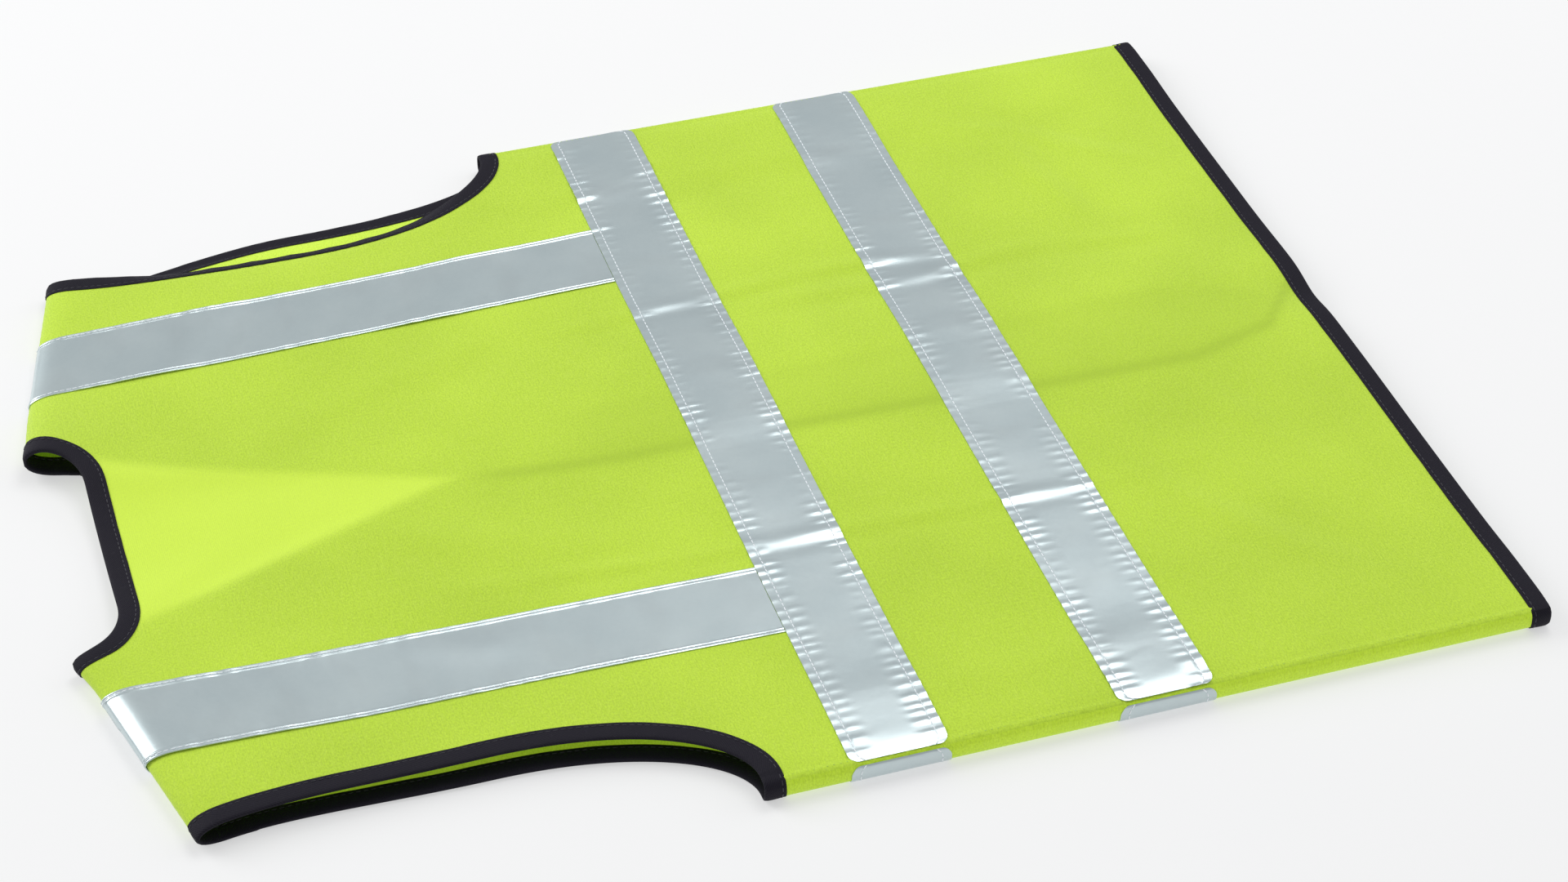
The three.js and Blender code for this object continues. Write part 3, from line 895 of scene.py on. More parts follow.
# The part of a curve between two distances behind the shoulder fold. It starts at the fold.
def between(line, near, far):
    away = behindFold(line)
    stop = len(away) if away.max() <= far else int(np.argmax(away > far))
    away, line = away[: stop + 1], line[: stop + 1]
    ends = [np.array([np.interp(w, away, line[:, k]) for k in (0, 1)]) for w in (near, far)]
    inner = line[(away > near) & (away < far)]
    return np.concatenate([[ends[0]], inner, [ends[1]]])


def afterSeam(line, gap=0.3):
    away = behindFold(line)
    first = int(np.argmax(away > cut["seamForward"] + gap))
    share = (cut["seamForward"] + gap - away[first - 1]) / (away[first] - away[first - 1])
    start = line[first - 1] + share * (line[first] - line[first - 1])
    return np.concatenate([[start], line[first:]])


seamU = foldStartX + seamRun
seamA = foldStartX + sideFold.length - seamRun + cut["seamGap"]


def yokeOf(line):
    return onYoke(between(line, cut["yokeStart"], cut["seamForward"]))


armholesDown = {hand: line[::-1] for hand, line in frontArmholes.items()}
yokeArms = {hand: yokeOf(line) for hand, line in armholesDown.items()}
yokeNeck = yokeOf(frontNeck)

clothSize = {
    "gap": 4.2,
    "foldGap": 1.9,
    "half": clothHalf,
    "welt": 0.6,
    "backWelt": (1.6, 1.3),
    "frontWelt": (1.4, 1.1),
}


def nearFold(p):
    d = overShoulder(p[:, 0], p[:, 1])
    shoulder = (d > shoulderFold.centre - 5) & (d < shoulderFold.length + 3) & (np.abs(p[:, 0]) > 60)
    side = (np.abs(p[:, 0]) > foldStartX - 4) & (np.abs(p[:, 0]) < foldStartX + sideFold.length + 4)
    return shoulder | side


def layBackCloth(p, lift):
    place, width = clothSize["backWelt"]
    edge = clothSize["welt"] * np.exp(-(((seamU - np.abs(p[:, 0]) - place) / width) ** 2))
    return layBack(p, lift + edge * (p[:, 1] < footY + 1))


def layFrontCloth(side):
    def lay(p, lift):
        place, width = clothSize["frontWelt"]
        edge = clothSize["welt"] * 0.5 * np.exp(-(((seamA - p[:, 0] - place) / width) ** 2))
        return layFront(side, p, lift + edge)

    return lay


def backHalf(hand):
    return joined(
        [[0, hemY], [seamU, hemY], [seamU, footY]],
        [[seamU, footY], *backArmhole[2:]],
        [backArmhole[-1], *yokeArms[hand]],
        [yokeArms[hand][-1], *yokeNeck[::-1]],
        [yokeNeck[0], *backNeck],
    )


def backOutline():
    return np.concatenate([backHalf("right"), mirrored(backHalf("left"))[:-1]])


def frontOutline(hand):
    armhole = afterSeam(armholesDown[hand])
    return joined(
        [[seamA, hemY], [seamA, footY]],
        [[seamA, footY], *armhole[::-1]],
        [armhole[0], *afterSeam(frontNeck)],
        [frontNeck[-1], *frontEdge],
    )


# The thin back cloth gets painted see-through light and shade: a painted lighter tone where no front lies
# under it, painted shade over the overlap, and a painted dark line over the front's edge beneath
seeThrough = {
    "bare": 0.62,
    "bareEdge": 5.0,
    "bareTop": 326.0,
    "paintedThroughShade": 0.18,
    "paintedEdgeShade": 0.62,
    "edgeWidth": 4.2,
}


def paintLayerLightAndShade(piece):
    places = np.array([tuple(v.co) for v in piece.data.vertices]) / mm
    x, y = places[:, 0], places[:, 1]
    # Painted see-through light: the V where no front lies below
    soft = seeThrough["bareEdge"]
    bare = ease((insideV(x, y) + soft) / (2 * soft)) * (y < seeThrough["bareTop"])
    # Painted see-through shade: the fronts' overlap, and a dark line where the front's black edge binding
    # lies beneath
    edge = np.interp(y, ridgeLine["y"], ridgeLine["x"])
    other = -edge + 4
    lap = ease((x - edge) / 7 + 0.5) * (1 - ease((x - other) / 10 + 0.5))
    below = 1 - ease((y - 30) / 90)
    line = np.exp(-(((x - edge + 2) / seeThrough["edgeWidth"]) ** 2)) * (1 - ease((y - 110) / 30))
    paintedThroughShade = seeThrough["paintedThroughShade"] * lap * below + seeThrough["paintedEdgeShade"] * line
    for name, value in (("bare", seeThrough["bare"] * bare), ("paintedThroughShade", np.clip(paintedThroughShade, 0, 1))):
        layer = piece.data.attributes.new(name, "FLOAT", "POINT")
        layer.data.foreach_set("value", value.astype(np.float32))


def makeCloth():
    steps = (clothSize["gap"], clothSize["foldGap"])
    lifts = (clothSize["half"], -clothSize["half"])
    plan = [("back", "backCloth", backOutline(), layBackCloth, clothMaterial)]
    for hand, side in (("left", -1), ("right", 1)):
        plan.append((hand, hand + "FrontCloth", frontOutline(hand), layFrontCloth(side), frontMaterial))
    made = {}
    for key, name, outline, lay, material in plan:
        made[key] = makeSheet(name, outline, lay, steps, nearFold, lifts, material)
    paintLayerLightAndShade(made["back"])
    return made


# Stitches: small rounded threads, each lying along its row
stitch = {
    "pitch": 3.3,
    "length": 2.5,
    "width": 0.55,
    "height": 0.42,
    "sides": 6,
    "lookAhead": 0.6,
    "shape": [(-0.5, 0.3), (-0.36, 0.85), (0, 1.0), (0.36, 0.85), (0.5, 0.3)],
}


def placeAt(line, run, at):
    return np.array([np.interp(at, run, line[:, c]) for c in range(3)])


def makeStitches(name, rows, material, pitch=None):
    pitch = pitch or stitch["pitch"]
    shape, sides = stitch["shape"], stitch["sides"]
    oneThread = stripFaces(len(shape), sides, False)
    places, faces, drawing = [], [], []
    for line, normals in rows:
        run = lengths(line)
        count = int(run[-1] / pitch)
        for k in range(count):
            at = (k + 0.5) * run[-1] / count
            before = placeAt(line, run, at - stitch["lookAhead"])
            after = placeAt(line, run, at + stitch["lookAhead"])
            out = placeAt(normals, run, at)
            ahead = after - before
            ahead /= np.linalg.norm(ahead)
            across = np.cross(out, ahead)
            across /= np.linalg.norm(across)
            middle = (before + after) / 2
            base = len(places)
            for t, r in shape:
                for j in range(sides):
                    angle = 2 * math.pi / sides * j
                    w = across * math.cos(angle) * stitch["width"] / 2 * r
                    h = out * math.sin(angle) * stitch["height"] / 2 * r
                    places.append(middle + ahead * t * stitch["length"] + w + h)
                    drawing.append((at + t * stitch["length"], angle * 0.3))
            faces += [[base + f for f in face] for face in oneThread]
    places = np.array(places)
    if volumeOf(places, faces[: len(oneThread)]) < 0:
        faces = [f[::-1] for f in faces]
    return makePiece(name, places, faces, np.array(drawing), material)


# Reflective tapes
tape = {
    "half": 25.0,
    "row": 20.4,
    "base": 0.92,
    "thick": 0.42,
    "step": 1.35,
    "corner": 5.0,
    "pucker": 0.62,
    "puckerGap": 7.2,
    "puckerFrom": 9.0,
    "puckerRise": 10.0,
    "crease": 1.0,
    "wave": 0.12,
    "sink": 0.22,
    "sinkWide": 0.9,
    "bead": 0.36,
    "beadWide": 0.5,
    "beadRows": (22.2, 24.3),
    "most": 9.0,
    "frontMost": 1.2,
    "frontCalm": 0.3,
    "braceCalm": 0.4,
    "threadLift": 0.17,
    "backEndGap": 0.9,
    "frontEndGap": 1.1,
    "frontStart": 10.6,
}
beltColumns = [0, 2.2, 4.4, 6.6, 8.8, 11, 13, 15, 16.8, 18.2]
beltColumns += [19.2, 19.9, 20.4, 20.9, 21.6, 22.6, 23.6, 24.5, 25]
braceColumns = [0, 3, 6, 9, 12, 15, 17.5, 19.2, 20.3, 20.9]
braceColumns += [21.4, 21.8, 22.2, 22.6, 23.1, 23.6, 24, 24.3, 24.7, 25]


def bothWays(columns):
    columns = np.array(columns, float)
    return np.concatenate([-columns[:0:-1], columns])


beltAcross = bothWays(beltColumns)
braceAcross = bothWays(braceColumns)


# The height of a belt tape over its cloth: puckers in from its two rows, and creases across it
def beltLift(s, t, seed, calm=1.0):
    reach = np.abs(t)
    row = np.exp(-(((reach - tape["row"]) / tape["sinkWide"]) ** 2))
    near = ease((reach - tape["puckerFrom"]) / tape["puckerRise"])
    tight = 0.35 + 0.65 * ease(0.5 + 0.9 * ripple(s, t * 0.02, 58, seed + 1))
    turn = 2 * math.pi * s / tape["puckerGap"] + 2.6 * ripple(s, np.sign(t) * 9, 12, seed + 3)
    small = np.sin(turn + 0.03 * t)
    small = small * np.abs(small) ** 0.6 * (0.7 + 0.5 * ripple(s, np.sign(t) * 9, 9, seed + 2))
    cross = ripple(s + 0.35 * t, 0.10 * t + 40, 11, seed + 4)
    cross = np.maximum(0, cross - 0.25) * ease(0.35 + 1.4 * ripple(s, t * 0.02, 70, seed + 6))
    wide = ripple(s - 0.5 * t, 0.5 * t, 38, seed + 5)
    lift = tape["pucker"] * near * np.maximum(small, -0.3) * tight
    lift = lift + tape["crease"] * cross * (0.5 + 0.5 * near)
    return tape["base"] + calm * (np.maximum(lift, -0.05) + tape["wave"] * wide) - tape["sink"] * row


# A brace tape lies smoother, with a fine raised cord along each edge
def braceLift(s, t, seed, calm=1.0):
    reach = np.abs(t)
    cords = sum(np.exp(-(((reach - at) / tape["beadWide"]) ** 2)) for at in tape["beadRows"])
    small = ripple(s, np.sign(t) * 9, 5.2, seed + 2)
    wide = ripple(s - 0.5 * t, 0.5 * t, 44, seed + 5)
    cross = ease(ripple(s + 0.6 * t, 0.25 * t + 40, 34, seed + 4))
    lift = brace["small"] * small * ease((reach - 14) / 8) + brace["wide"] * wide + brace["cross"] * cross
    return tape["base"] + calm * lift + tape["bead"] * cords


# drawing holds the flat place of each station and column, and s the stations' way along the tape
def makeTape(name, drawing, s, lay, lift, row, most):
    stations, columns = drawing.shape[:2]
    across = braceAcross if columns == len(braceAcross) else beltAcross
    t = np.broadcast_to(across, (stations, columns))
    s = np.broadcast_to(np.asarray(s)[:, None], (stations, columns))
    lift = np.clip(lift(s, t), tape["thick"] + 0.5, most)
    flat = drawing.reshape(-1, 2)
    outer, inner = lay(flat, lift.ravel()), lay(flat, lift.ravel() - tape["thick"])
    a = gridCorners(stations, columns)
    faces = np.concatenate([
        np.stack([a, a + 1, a + columns + 1], axis=1),
        np.stack([a, a + columns + 1, a + columns], axis=1),
    ])
    if facesIn(outer, inner, faces):
        faces = faces[:, ::-1]
    where = np.stack([s.ravel(), t.ravel()], axis=1)
    places = np.concatenate([outer, inner])
    drawn = np.concatenate([where, where])
    both = sheetFaces(faces, len(flat))
    piece = makePiece(name, places, both, drawn, tapeMaterial)
    rows = []
    for edge in (-row, row):
        k = int(np.argmin(np.abs(across - edge)))
        line = outer.reshape(stations, columns, 3)[2:-2, k]
        away = (outer - inner).reshape(stations, columns, 3)[2:-2, k]
        away = away / np.linalg.norm(away, axis=1)[:, None]
        rows.append((line + away * tape["threadLift"], away))
    threads = makeStitches(name + "Stitching", rows, silverThread)
    return [piece, threads]


def roundedHalf(distance):
    r = tape["corner"]
    inside = np.clip(distance, 0, r)
    return tape["half"] - r + np.sqrt(np.maximum(r * r - (r - inside) ** 2, 0))


def stationsOf(start, end):
    return np.linspace(start, end, math.ceil(abs(end - start) / tape["step"]) + 1)


def cornerSteps(at, sign):
    return [at + sign * d for d in (0.02, 0.12, 0.35, 0.7)]


# distance is each station's way from the tape's end, where its corners are rounded
def makeBelt(name, xs, distance, low, lay, seed, calm, most):
    y = low + tape["half"] + beltAcross[None, :] * roundedHalf(distance)[:, None] / tape["half"]
    drawing = np.stack([np.broadcast_to(xs[:, None], y.shape), y], axis=2)
    lift = lambda s, t: beltLift(s, t, seed, calm)
    return makeTape(name, drawing, xs, lay, lift, tape["row"], most)


def makeBackTape(name, low, seed):
    end = seamU - tape["backEndGap"]
    xs = np.unique(np.concatenate([stationsOf(-end, end), cornerSteps(-end, 1), cornerSteps(end, -1)]))
    return makeBelt(name, xs, end - np.abs(xs), low, layBack, seed, 1.0, tape["most"])


def makeFrontTape(name, side, low, seed):
    start, end = cut["frontEdgeX"] + tape["frontStart"], seamA - tape["frontEndGap"]
    xs = np.unique(np.concatenate([stationsOf(start, end), cornerSteps(end, -1)]))
    return makeBelt(name, xs, end - xs, low, onFront(side), seed, tape["frontCalm"], tape["frontMost"])


# Brace tapes: from the upper tape over the shoulder to its seam, and down the front
brace = {
    "fromNeck": 40.0,
    "spread": {-1: 6.0, 1: 11.0},
    "row": 23.1,
    "foot": spanOf("right_brace_tape_back")[0][1],
    "midY": 200.0,
    "frontLong": 300.0,
    "small": 0.16,
    "wide": 0.22,
    "cross": 0.7,
}


def braceX(y, column, side):
    lean = brace["spread"][side] / (neckEnd[1] - brace["foot"])
    return neckEnd[0] + brace["fromNeck"] + lean * (neckEnd[1] - y) + column + tape["half"]


def makeBackBrace(name, side, seed):
    end = shoulderFold.length + shoulderFold.centre + cut["seamForward"]
    low = np.full(len(braceAcross), brace["foot"])
    foot = np.stack([braceX(low, braceAcross, side), low], axis=1)
    first = -behindFold(foot) - shoulderFold.centre
    share = np.linspace(0, 1, math.ceil((end - first.mean()) / tape["step"]) + 1)
    run = first[None, :] + share[:, None] * (end - first)[None, :]
    h = shoulderFold.place(run, 0)[0]
    e = (braceX(brace["midY"], braceAcross, side)[None, :] - neckEnd[0] - over[0] * h) / along[0]
    for turn in range(3):
        y = neckEnd[1] + along[1] * e + over[1] * h
        e = (braceX(y, braceAcross[None, :], side) - neckEnd[0] - over[0] * h) / along[0]
    d = run + shoulderFold.centre
    x = neckEnd[0] + along[0] * e + over[0] * d
    y = neckEnd[1] + along[1] * e + over[1] * d
    drawing = np.stack([side * x, y], axis=2)
    most = np.where(run > 0.5 * shoulderFold.length, tape["frontMost"], tape["most"])
    lift = lambda s, t: braceLift(s, t, seed)
    return makeTape(name, drawing, run.mean(1), layBack, lift, brace["row"], most)


def makeFrontBrace(name, side, seed):
    share = np.linspace(0, 1, math.ceil(brace["frontLong"] / tape["step"]))
    top = neckEnd[1] - cut["seamForward"] / over[1] - 0.4
    x = braceX(brace["midY"], braceAcross, side)
    for turn in range(3):
        high = top - (x - neckEnd[0]) * over[0] / over[1]
        x = braceX(high, braceAcross, side)
    y = high[None, :] + share[:, None] * (brace["foot"] - high)[None, :]
    drawing = np.stack([braceX(y, braceAcross[None, :], side), y], axis=2)
    lift = lambda s, t: braceLift(s, t, seed, tape["braceCalm"])
    return makeTape(name, drawing, -y.mean(1), onFront(side), lift, brace["row"], tape["frontMost"])


# Folded bindings. The section is drawn as the way into the cloth and the way off its middle.
binding = {"row": 8.0, "rowLift": 0.96, "puff": 0.10, "waver": 0.18, "step": 2.2, "pitch": 3.6}
bindingSection = [
    (10.0, 0.50), (10.0, 0.80), (9.4, 0.97), (8.7, 1.00), (8.0, 0.84), (7.3, 1.00), (5.6, 1.10),
    (3.8, 1.16), (2.0, 1.16), (0.7, 1.08), (-0.2, 0.85), (-0.7, 0.45), (-0.8, 0.0),
    (-0.7, -0.45), (-0.2, -0.85), (0.7, -1.08), (2.0, -1.16), (3.8, -1.16), (5.6, -1.10),
    (7.3, -1.00), (8.0, -0.84), (8.7, -1.00), (9.4, -0.97), (10.0, -0.80), (10.0, -0.50),
    (6.0, -0.52), (1.0, -0.52), (0.0, -0.30), (0.0, 0.30), (1.0, 0.52), (6.0, 0.52),
]


def intoCloth(line, hand, closed=False):
    before, after = np.roll(line, 1, axis=0), np.roll(line, -1, axis=0)
    if not closed:
        before[0], after[-1] = line[0], line[-1]
    ahead = after - before
    ahead /= np.linalg.norm(ahead, axis=1)[:, None]
    return np.stack([-ahead[:, 1], ahead[:, 0]], axis=1) * hand


# runs is a list of (drawing line, lay, hand): hand is 1 where the cloth lies on the left
def makeBinding(name, runs, closed, seed):
    sections, drawn, rowLines = [], [], []
    start = 0.0
    a = np.array([p[0] for p in bindingSection])
    b = np.array([p[1] for p in bindingSection])
    for line, lay, hand in runs:
        line = spaced(line, binding["step"])
        into = intoCloth(line, hand)
        s = start + lengths(line)
        start = s[-1]
        if len(sections) or closed:
            line, into, s = line[1:], into[1:], s[1:]
        waver = binding["waver"] * ripple(s[:, None], np.sign(b)[None, :] * 5, 11, seed)
        leg = a[None, :] + waver * (a > 6)
        swell = ripple(s[:, None], a[None, :] * 0.7 + 20 * np.sign(b)[None, :], 4.2, seed + 1)
        swell = swell + 0.7 * ripple(s[:, None], b[None, :], 12, seed + 2)
        outer = (np.abs(b) > 0.7) & (a < 9.5)
        high = b[None, :] + binding["puff"] * swell * np.sign(b)[None, :] * outer[None, :]
        flat = line[:, None, :] + leg[:, :, None] * into[:, None, :]
        places = lay(flat.reshape(-1, 2), high.ravel())
        sections.append(places.reshape(len(line), len(a), 3))
        drawn.append(np.stack([np.broadcast_to(s[:, None], leg.shape), leg], axis=2))
        for sign in (1, -1):
            place = line + into * binding["row"]
            low = lay(place, sign * binding["rowLift"])
            top = lay(place, sign * (binding["rowLift"] + 1))
            rowLines.append((low, top - low))
    places = np.concatenate(sections)
    stations = len(places)
    faces = stripFaces(stations, len(a), closed)
    places = places.reshape(-1, 3)
    if volumeOf(places, faces) < 0:
        faces = [f[::-1] for f in faces]
    drawn = np.concatenate(drawn).reshape(-1, 2)
    piece = makePiece(name, places, faces, drawn, bindingMaterial)
    return [piece, makeStitches(name + "Stitching", rowLines, darkThread, binding["pitch"])]


def makeBindings():
    made = {}
    foldEnd = [seamA + 0.2, hemY]
    ringEnd = [foldStartX + sideFold.length - (sideX - foldStartX) - 0.2, footY]
    down = afterSeam(frontNeck, 0.2)
    for hand, side in (("left", -1), ("right", 1)):
        flip = np.array([side, 1.0])
        ringBack = joined(backArmhole, [backArmhole[-1], *yokeArms[hand]])
        ringFront = joined(afterSeam(armholesDown[hand], 0.0), [backArmhole[0], ringEnd])
        runs = [(ringBack * flip, layBack, side), (ringFront, onFront(side), -1)]
        made[hand + "Armhole"] = makeBinding(hand + "ArmholeBinding", runs, True, 20 + side)
        edge = joined(down, frontEdge, [frontEdge[-1], [sideX, hemY], foldEnd])
        runs = [(edge, onFront(side), 1)]
        made[hand + "Front"] = makeBinding(hand + "FrontBinding", runs, False, 30 + side)
    half = joined([[0, backNeckY], *backNeck[::-1]], [backNeck[0], *yokeNeck])
    neckLine = joined(mirrored(half), half)
    made["neck"] = makeBinding("neckBinding", [(neckLine, layBack, -1)], False, 41)
    hemLine = [[-seamU + 0.2, hemY], [seamU - 0.2, hemY]]
    made["hem"] = makeBinding("backHemBinding", [(hemLine, layBack, 1)], False, 43)
    return made


# Small pieces: closure strips and the blank label
patch = {"step": 0.8, "base": 0.55, "thick": 0.5, "nap": 0.16, "sunk": 0.12, "inset": 1.7, "pitch": 2.9}
label = {
    "half": 20.0,
    "length": 50.0,
    "thick": 0.35,
    "below": 0.72,
    "curl": 1.3,
    "seamHalf": 18.5,
    "seamDown": 2.5,
    "seamBelow": 1.1,
    "pitch": 2.6,
}


def gridSheet(name, us, vs, lay, outer, inner, material):
    u, v = np.meshgrid(us, vs, indexing="ij")
    flat = np.stack([u.ravel(), v.ravel()], axis=1)
    n = len(vs)
    a = gridCorners(len(us), n)
    faces = np.concatenate([
        np.stack([a, a + n, a + n + 1], axis=1),
        np.stack([a, a + n + 1, a + 1], axis=1),
    ])
    top, bottom = lay(flat, outer(flat)), lay(flat, inner(flat))
    if facesIn(top, bottom, faces):
        faces = faces[:, ::-1]
    places, drawn = np.concatenate([top, bottom]), np.concatenate([flat, flat])
    return makePiece(name, places, sheetFaces(faces, len(flat)), drawn, material)


# A strip of hooks or loops on a flap: away is 1 on its outer face and -1 on its inner one
def makeStrip(name, node, side, away, seed):
    low, high = spanOf(node)
    us = np.arange(low[0], high[0] + 0.01, patch["step"])
    vs = np.arange(low[1], high[1] + 0.01, patch["step"])

    def face(p):
        nap = ripple(p[:, 0], p[:, 1], 0.9, seed) + 0.6 * ripple(p[:, 0], p[:, 1], 2.1, seed + 1)
        rim = np.minimum(p - low[:2], high[:2] - p).min(1)
        level = patch["base"] + patch["thick"] - patch["sunk"]
        return away * (level + patch["nap"] * nap * ease((rim - 1) / 2))

    def back(p):
        return away * patch["base"]

    lay = onFront(side)
    piece = gridSheet(name, us, vs, lay, face, back, closureMaterial)
    a, b = low + patch["inset"], high - patch["inset"]
    line = spaced([[a[0], a[1]], [b[0], a[1]], [b[0], b[1]], [a[0], b[1]], [a[0], a[1]]], 1.5)
    top = lay(line, away * (patch["base"] + patch["thick"]))
    more = lay(line, away * (patch["base"] + patch["thick"] + 1))
    threads = makeStitches(name + "Stitching", [(top, more - top)], clothThread, patch["pitch"])
    return [piece, threads]


def makeLabel():
    low, high = spanOf("care_label")
    top = high[1]

    def hang(p):
        down = (top - p[:, 1]) / label["length"]
        return label["curl"] * down**2 + 0.25 * down * ripple(p[:, 0], p[:, 1], 16, 51)

    us = np.linspace(-label["half"], label["half"], 25)
    vs = np.linspace(low[1], top, 31)
    outer = lambda p: -label["below"] - hang(p)
    inner = lambda p: -label["below"] - label["thick"] - hang(p)
    piece = gridSheet("blankLabel", us, vs, layBack, outer, inner, labelMaterial)
    seamY = top - label["seamDown"]
    line = spaced([[-label["seamHalf"], seamY], [label["seamHalf"], seamY]], 2.0)
    place = layBack(line, -label["seamBelow"])
    away = layBack(line, -label["seamBelow"] - 1) - place
    return [piece, makeStitches("labelStitching", [(place, away)], silverThread, label["pitch"])]


def seamRows(name, lines, pitch):
    rows = []
    for line, lay, lift in lines:
        line = spaced(line, 2.0)
        place = lay(line, lift)
        rows.append((place, lay(line, lift + 1) - place))
    return makeStitches(name, rows, clothThread, pitch)


# The back settles onto the fronts: a cloth held at its folds falls onto a bed of their shape
settling = {
    "step": 7.0,
    "frames": 26,
    "start": 1.2,
    "lowest": -7.0,
    "highest": 1.2,
    "bedDepth": 0.6,
    "ownShare": 0.5,
    "gap": 0.0005,
    "friction": 20,
    "heldBelow": 0.02,
}
settlingCloth = {
    "quality": 6,
    "mass": 0.12,
    "tension_stiffness": 12,
    "compression_stiffness": 12,
    "shear_stiffness": 4,
    "bending_stiffness": 0.4,
    "air_damping": 2,
    "shrink_min": -0.0015,
    "shrink_max": -0.0015,
}


def settleBack():
    xs = np.arange(-foldStartX, foldStartX + settling["step"], settling["step"])
    ys = np.arange(hemY, vestTop, settling["step"])
    gx, gy = np.meshgrid(xs, ys, indexing="ij")
    mask = edgeMask(gx, gy)
    own = lyingShape(gx, gy) * mask
    bed = own - settling["bedDepth"] * mask
    count = len(ys)
    a = gridCorners(len(xs), count)
    faces = np.stack([a, a + count, a + count + 1, a + 1], axis=1).tolist()
    items = []
    for name, height in (("settlingBed", bed), ("settlingCloth", settling["start"] * mask)):
        mesh = bpy.data.meshes.new(name)
        places = np.stack([gx.ravel(), gy.ravel(), height.ravel()], axis=1) * mm
        mesh.from_pydata(places.tolist(), [], faces)
        item = bpy.data.objects.new(name, mesh)
        bpy.context.scene.collection.objects.link(item)
        items.append(item)
    bedItem, clothItem = items
    bedItem.modifiers.new("collision", "COLLISION")
    bedItem.collision.thickness_outer = settling["gap"]
    bedItem.collision.cloth_friction = settling["friction"]
    held = clothItem.vertex_groups.new(name="held")
    for k in np.where(mask.ravel() < settling["heldBelow"])[0]:
        held.add([int(k)], 1.0, "REPLACE")
    cloth = clothItem.modifiers.new("cloth", "CLOTH")
    cloth.settings.vertex_group_mass = "held"
    for key, value in settlingCloth.items():
        setattr(cloth.settings, key, value)
    cloth.collision_settings.distance_min = settling["gap"]
    cloth.collision_settings.use_self_collision = False
    cloth.point_cache.frame_start = 1
    cloth.point_cache.frame_end = settling["frames"]
    scene = bpy.context.scene
    scene.frame_start, scene.frame_end = 1, settling["frames"]
    for number in range(1, settling["frames"] + 1):
        scene.frame_set(number)
    fallen = clothItem.evaluated_get(bpy.context.evaluated_depsgraph_get()).to_mesh()
    height = np.array([v.co.z for v in fallen.vertices]).reshape(gx.shape) / mm
    for item in items:
        bpy.data.objects.remove(item)
    scene.frame_set(1)
    print("settled", round(float(height.min()), 2), round(float(height.max()), 2))
    fell = smoothed(np.clip(height, settling["lowest"], settling["highest"] * mask), 2)
    height = settling["ownShare"] * fell + (1 - settling["ownShare"]) * own
    return {"grid": height, "x0": xs[0], "y0": ys[0], "step": settling["step"]}


def areaOf(outline):
    x, y = outline[:, 0], outline[:, 1]
    return abs(float((x * np.roll(y, -1) - y * np.roll(x, -1)).sum()) / 2) * mm * mm


def flatSize(outline):
    size = (outline.max(0) - outline.min(0)) * mm
    return float(size[0]), float(size[1])


settled.update(settleBack())
print("back settled")

cloths = makeCloth()
print("cloth laid")
lowUpper = spanOf("back_tape_upper")[0][1]
lowLower = spanOf("back_tape_lower")[0][1]
rides = []

backTapes = makeBackTape("backTapeUpper", lowUpper, 61) + makeBackTape("backTapeLower", lowLower, 71)
frontTapes = {"left": [], "right": []}
for hand, side, seed in (("left", -1, 80), ("right", 1, 120)):
    backTapes += makeBackBrace(hand + "BraceBack", side, seed)
    rides += makeFrontBrace(hand + "BraceFront", side, seed + 8)
    frontTapes[hand] += makeFrontTape(hand + "FrontTapeUpper", side, lowUpper, seed + 16)
    frontTapes[hand] += makeFrontTape(hand + "FrontTapeLower", side, lowLower, seed + 24)
print("tapes laid")

bindings = makeBindings()
print("bindings folded")

strips = {"left": [], "right": []}
for place in ("upper", "lower"):
    strips["left"] += makeStrip("hookStrip" + place.title(), "hook_strip_" + place, -1, -1, 160)
    strips["right"] += makeStrip("loopStrip" + place.title(), "loop_strip_" + place, 1, 1, 170)
labelPieces = makeLabel()
seam = {
    "inset": 2.4,
    "clear": 12.0,
    "lift": 0.52,
    "yokeClear": 13.0,
    "yokeRun": 35.5,
    "yokeLift": 0.42,
    "pitch": 3.0,
}
seamLines = []
for side in (-1, 1):
    x = side * (seamU - seam["inset"])
    seamLines.append(([[x, hemY + seam["clear"]], [x, footY - seam["clear"]]], layBack, seam["lift"]))
    start = neckEnd + along * seam["yokeClear"] + over * seam["yokeRun"]
    end = shoulderEnd - along * seam["yokeClear"] + over * seam["yokeRun"]
    seamLines.append((np.array([start, end]) * np.array([side, 1.0]), layBack, seam["yokeLift"]))
seamStitching = seamRows("seamStitching", seamLines, seam["pitch"])
print("small pieces made")

# What each piece stands for and rides on
standsFor = {
    "backCloth": ["back_panel"],
    "backTapeUpper": ["back_tape_upper"],
    "backTapeLower": ["back_tape_lower"],
    "neckBinding": ["neck_binding"],
    "backHemBinding": ["back_hem_binding"],
    "blankLabel": ["care_label"],
}
for hand in ("left", "right"):
    standsFor[hand + "FrontCloth"] = [hand + "_front_panel", hand + "_front_flap"]
    standsFor[hand + "BraceBack"] = [hand + "_brace_tape_back"]
    standsFor[hand + "BraceFront"] = [hand + "_brace_tape_front"]
    standsFor[hand + "ArmholeBinding"] = [hand + "_armhole_binding"]
    standsFor[hand + "FrontBinding"] = [hand + "_flap_binding", hand + "_hem_binding"]
    for place in ("upper", "lower"):
        nodes = [hand + "_front_tape_" + place, hand + "_flap_tape_" + place]
        standsFor[hand + "FrontTape" + place.title()] = nodes
for place in ("upper", "lower"):
    standsFor["hookStrip" + place.title()] = ["hook_strip_" + place]
    standsFor["loopStrip" + place.title()] = ["loop_strip_" + place]
for name, nodes in standsFor.items():
    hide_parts(*nodes)

rides += [cloths["back"], *backTapes, *labelPieces, seamStitching, *bindings["neck"], *bindings["hem"]]
for hand in ("left", "right"):
    rides += bindings[hand + "Armhole"]
for piece in rides:
    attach(piece, "root")

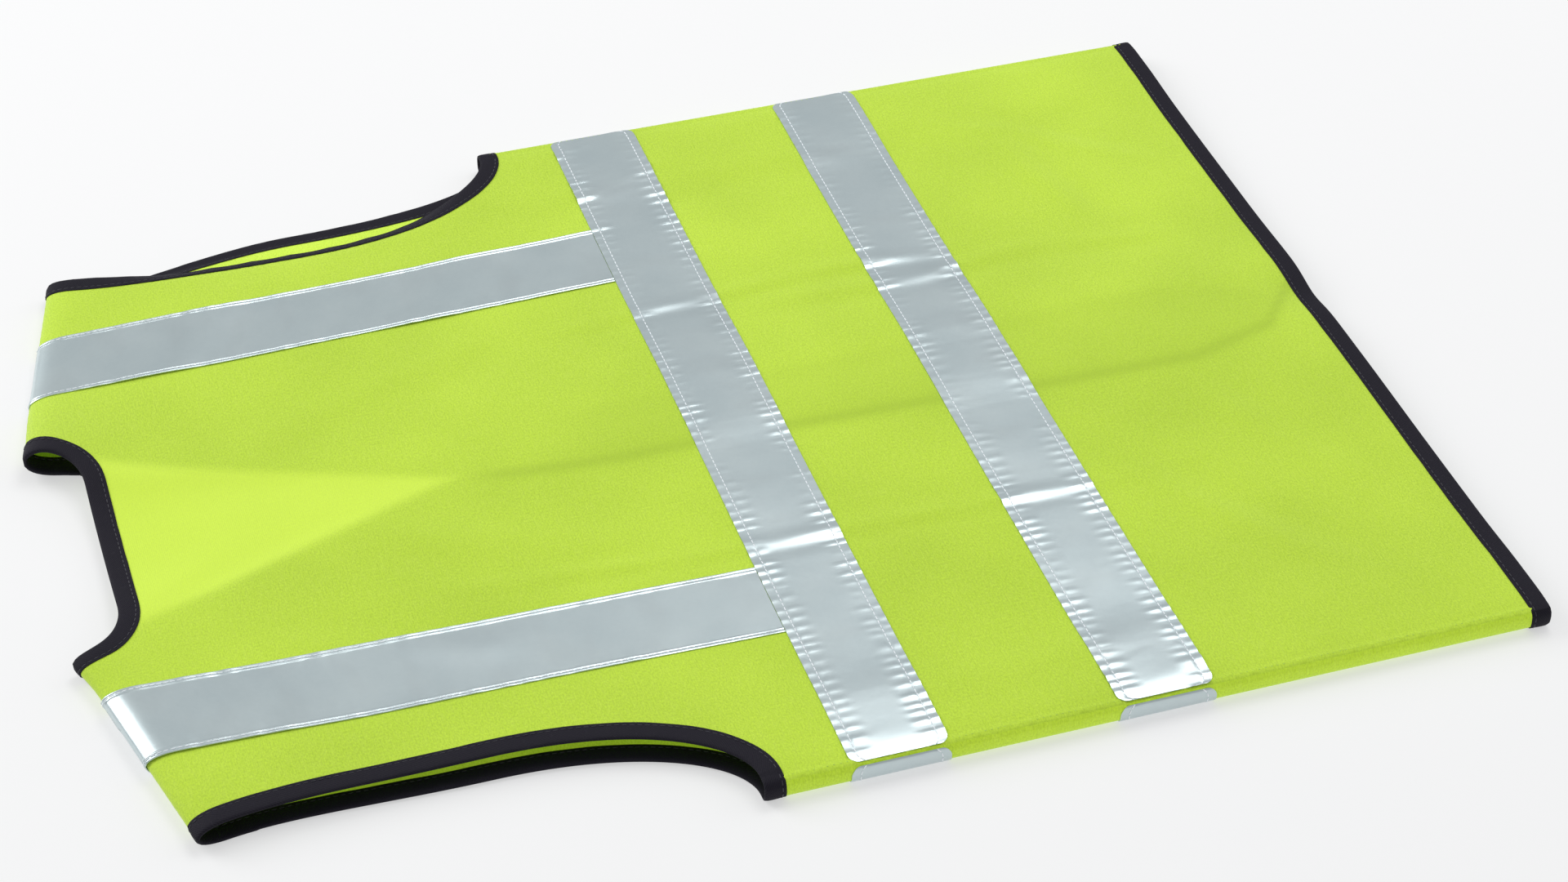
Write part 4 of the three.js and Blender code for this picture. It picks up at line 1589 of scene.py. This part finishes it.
bend = {"half": 8.0}
for hand, side in (("left", -1), ("right", 1)):
    flap = hand + "_flap"
    crossing = [cloths[hand], *frontTapes[hand], *bindings[hand + "Front"]]
    start = (side * (rollX + bend["half"]) * mm, 0, frontZ * mm)
    end = (side * (rollX - bend["half"]) * mm, 0, frontZ * mm)
    for piece in crossing:
        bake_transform(piece)
    for piece in strips[hand]:
        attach(piece, flap)

backFlat = backOutline()
areaOf(backFlat)
for hand in ("left", "right"):
    frontFlat = frontOutline(hand)
    areaOf(frontFlat)
print("sheets declared", flatSize(backFlat), areaOf(backFlat), flatSize(frontFlat), areaOf(frontFlat))


# Floor and light
studio = {
    "reach": 6.0,
    "tiles": 12,
    "floorZ": -0.0004,
    "floor": (0.40, 0.40, 0.40),
    "floorGlow": 0.53,
    "world": (0.90, 0.92, 0.95),
    "worldStrength": 0.43,
}
lamps = [
    ("keyLight", (1.7, 2.2, 1.7), 2.2, 56),
    ("topLight", (0.80, -0.83, 2.53), 1.62, 24),
    ("fillLight", (0.3, -2.5, 1.5), 1.8, 10),
]


def makeFloor():
    mesh = bpy.data.meshes.new("floor")
    tiles = studio["tiles"]
    xs = np.linspace(-studio["reach"], studio["reach"], tiles + 1)
    places = [(x, y, studio["floorZ"]) for x in xs for y in xs]
    n = tiles + 1
    faces = [(a, a + n, a + n + 1, a + 1) for a in gridCorners(n, n).tolist()]
    mesh.from_pydata(places, [], faces)
    look = bpy.data.materials.new("paleFloor")
    look.use_nodes = True
    main = look.node_tree.nodes["Principled BSDF"]
    main.inputs["Base Color"].default_value = (*studio["floor"], 1)
    main.inputs["Roughness"].default_value = 0.9
    main.inputs["Emission Color"].default_value = (1, 1, 1, 1)
    main.inputs["Emission Strength"].default_value = studio["floorGlow"]
    mesh.materials.append(look)
    item = bpy.data.objects.new("floor", mesh)
    bpy.context.scene.collection.objects.link(item)


def makeLights():
    world = bpy.data.worlds.new("studio")
    bpy.context.scene.world = world
    world.use_nodes = True
    sky = world.node_tree.nodes["Background"]
    sky.inputs["Color"].default_value = (*studio["world"], 1)
    sky.inputs["Strength"].default_value = studio["worldStrength"]
    for name, place, size, power in lamps:
        data = bpy.data.lights.new(name, "AREA")
        data.shape = "DISK"
        data.size = size
        data.energy = power
        item = bpy.data.objects.new(name, data)
        item.location = place
        item.rotation_euler = (-Vector(place)).to_track_quat("-Z", "Y").to_euler()
        bpy.context.scene.collection.objects.link(item)


makeFloor()
makeLights()
bpy.context.scene.view_settings.view_transform = "Standard"
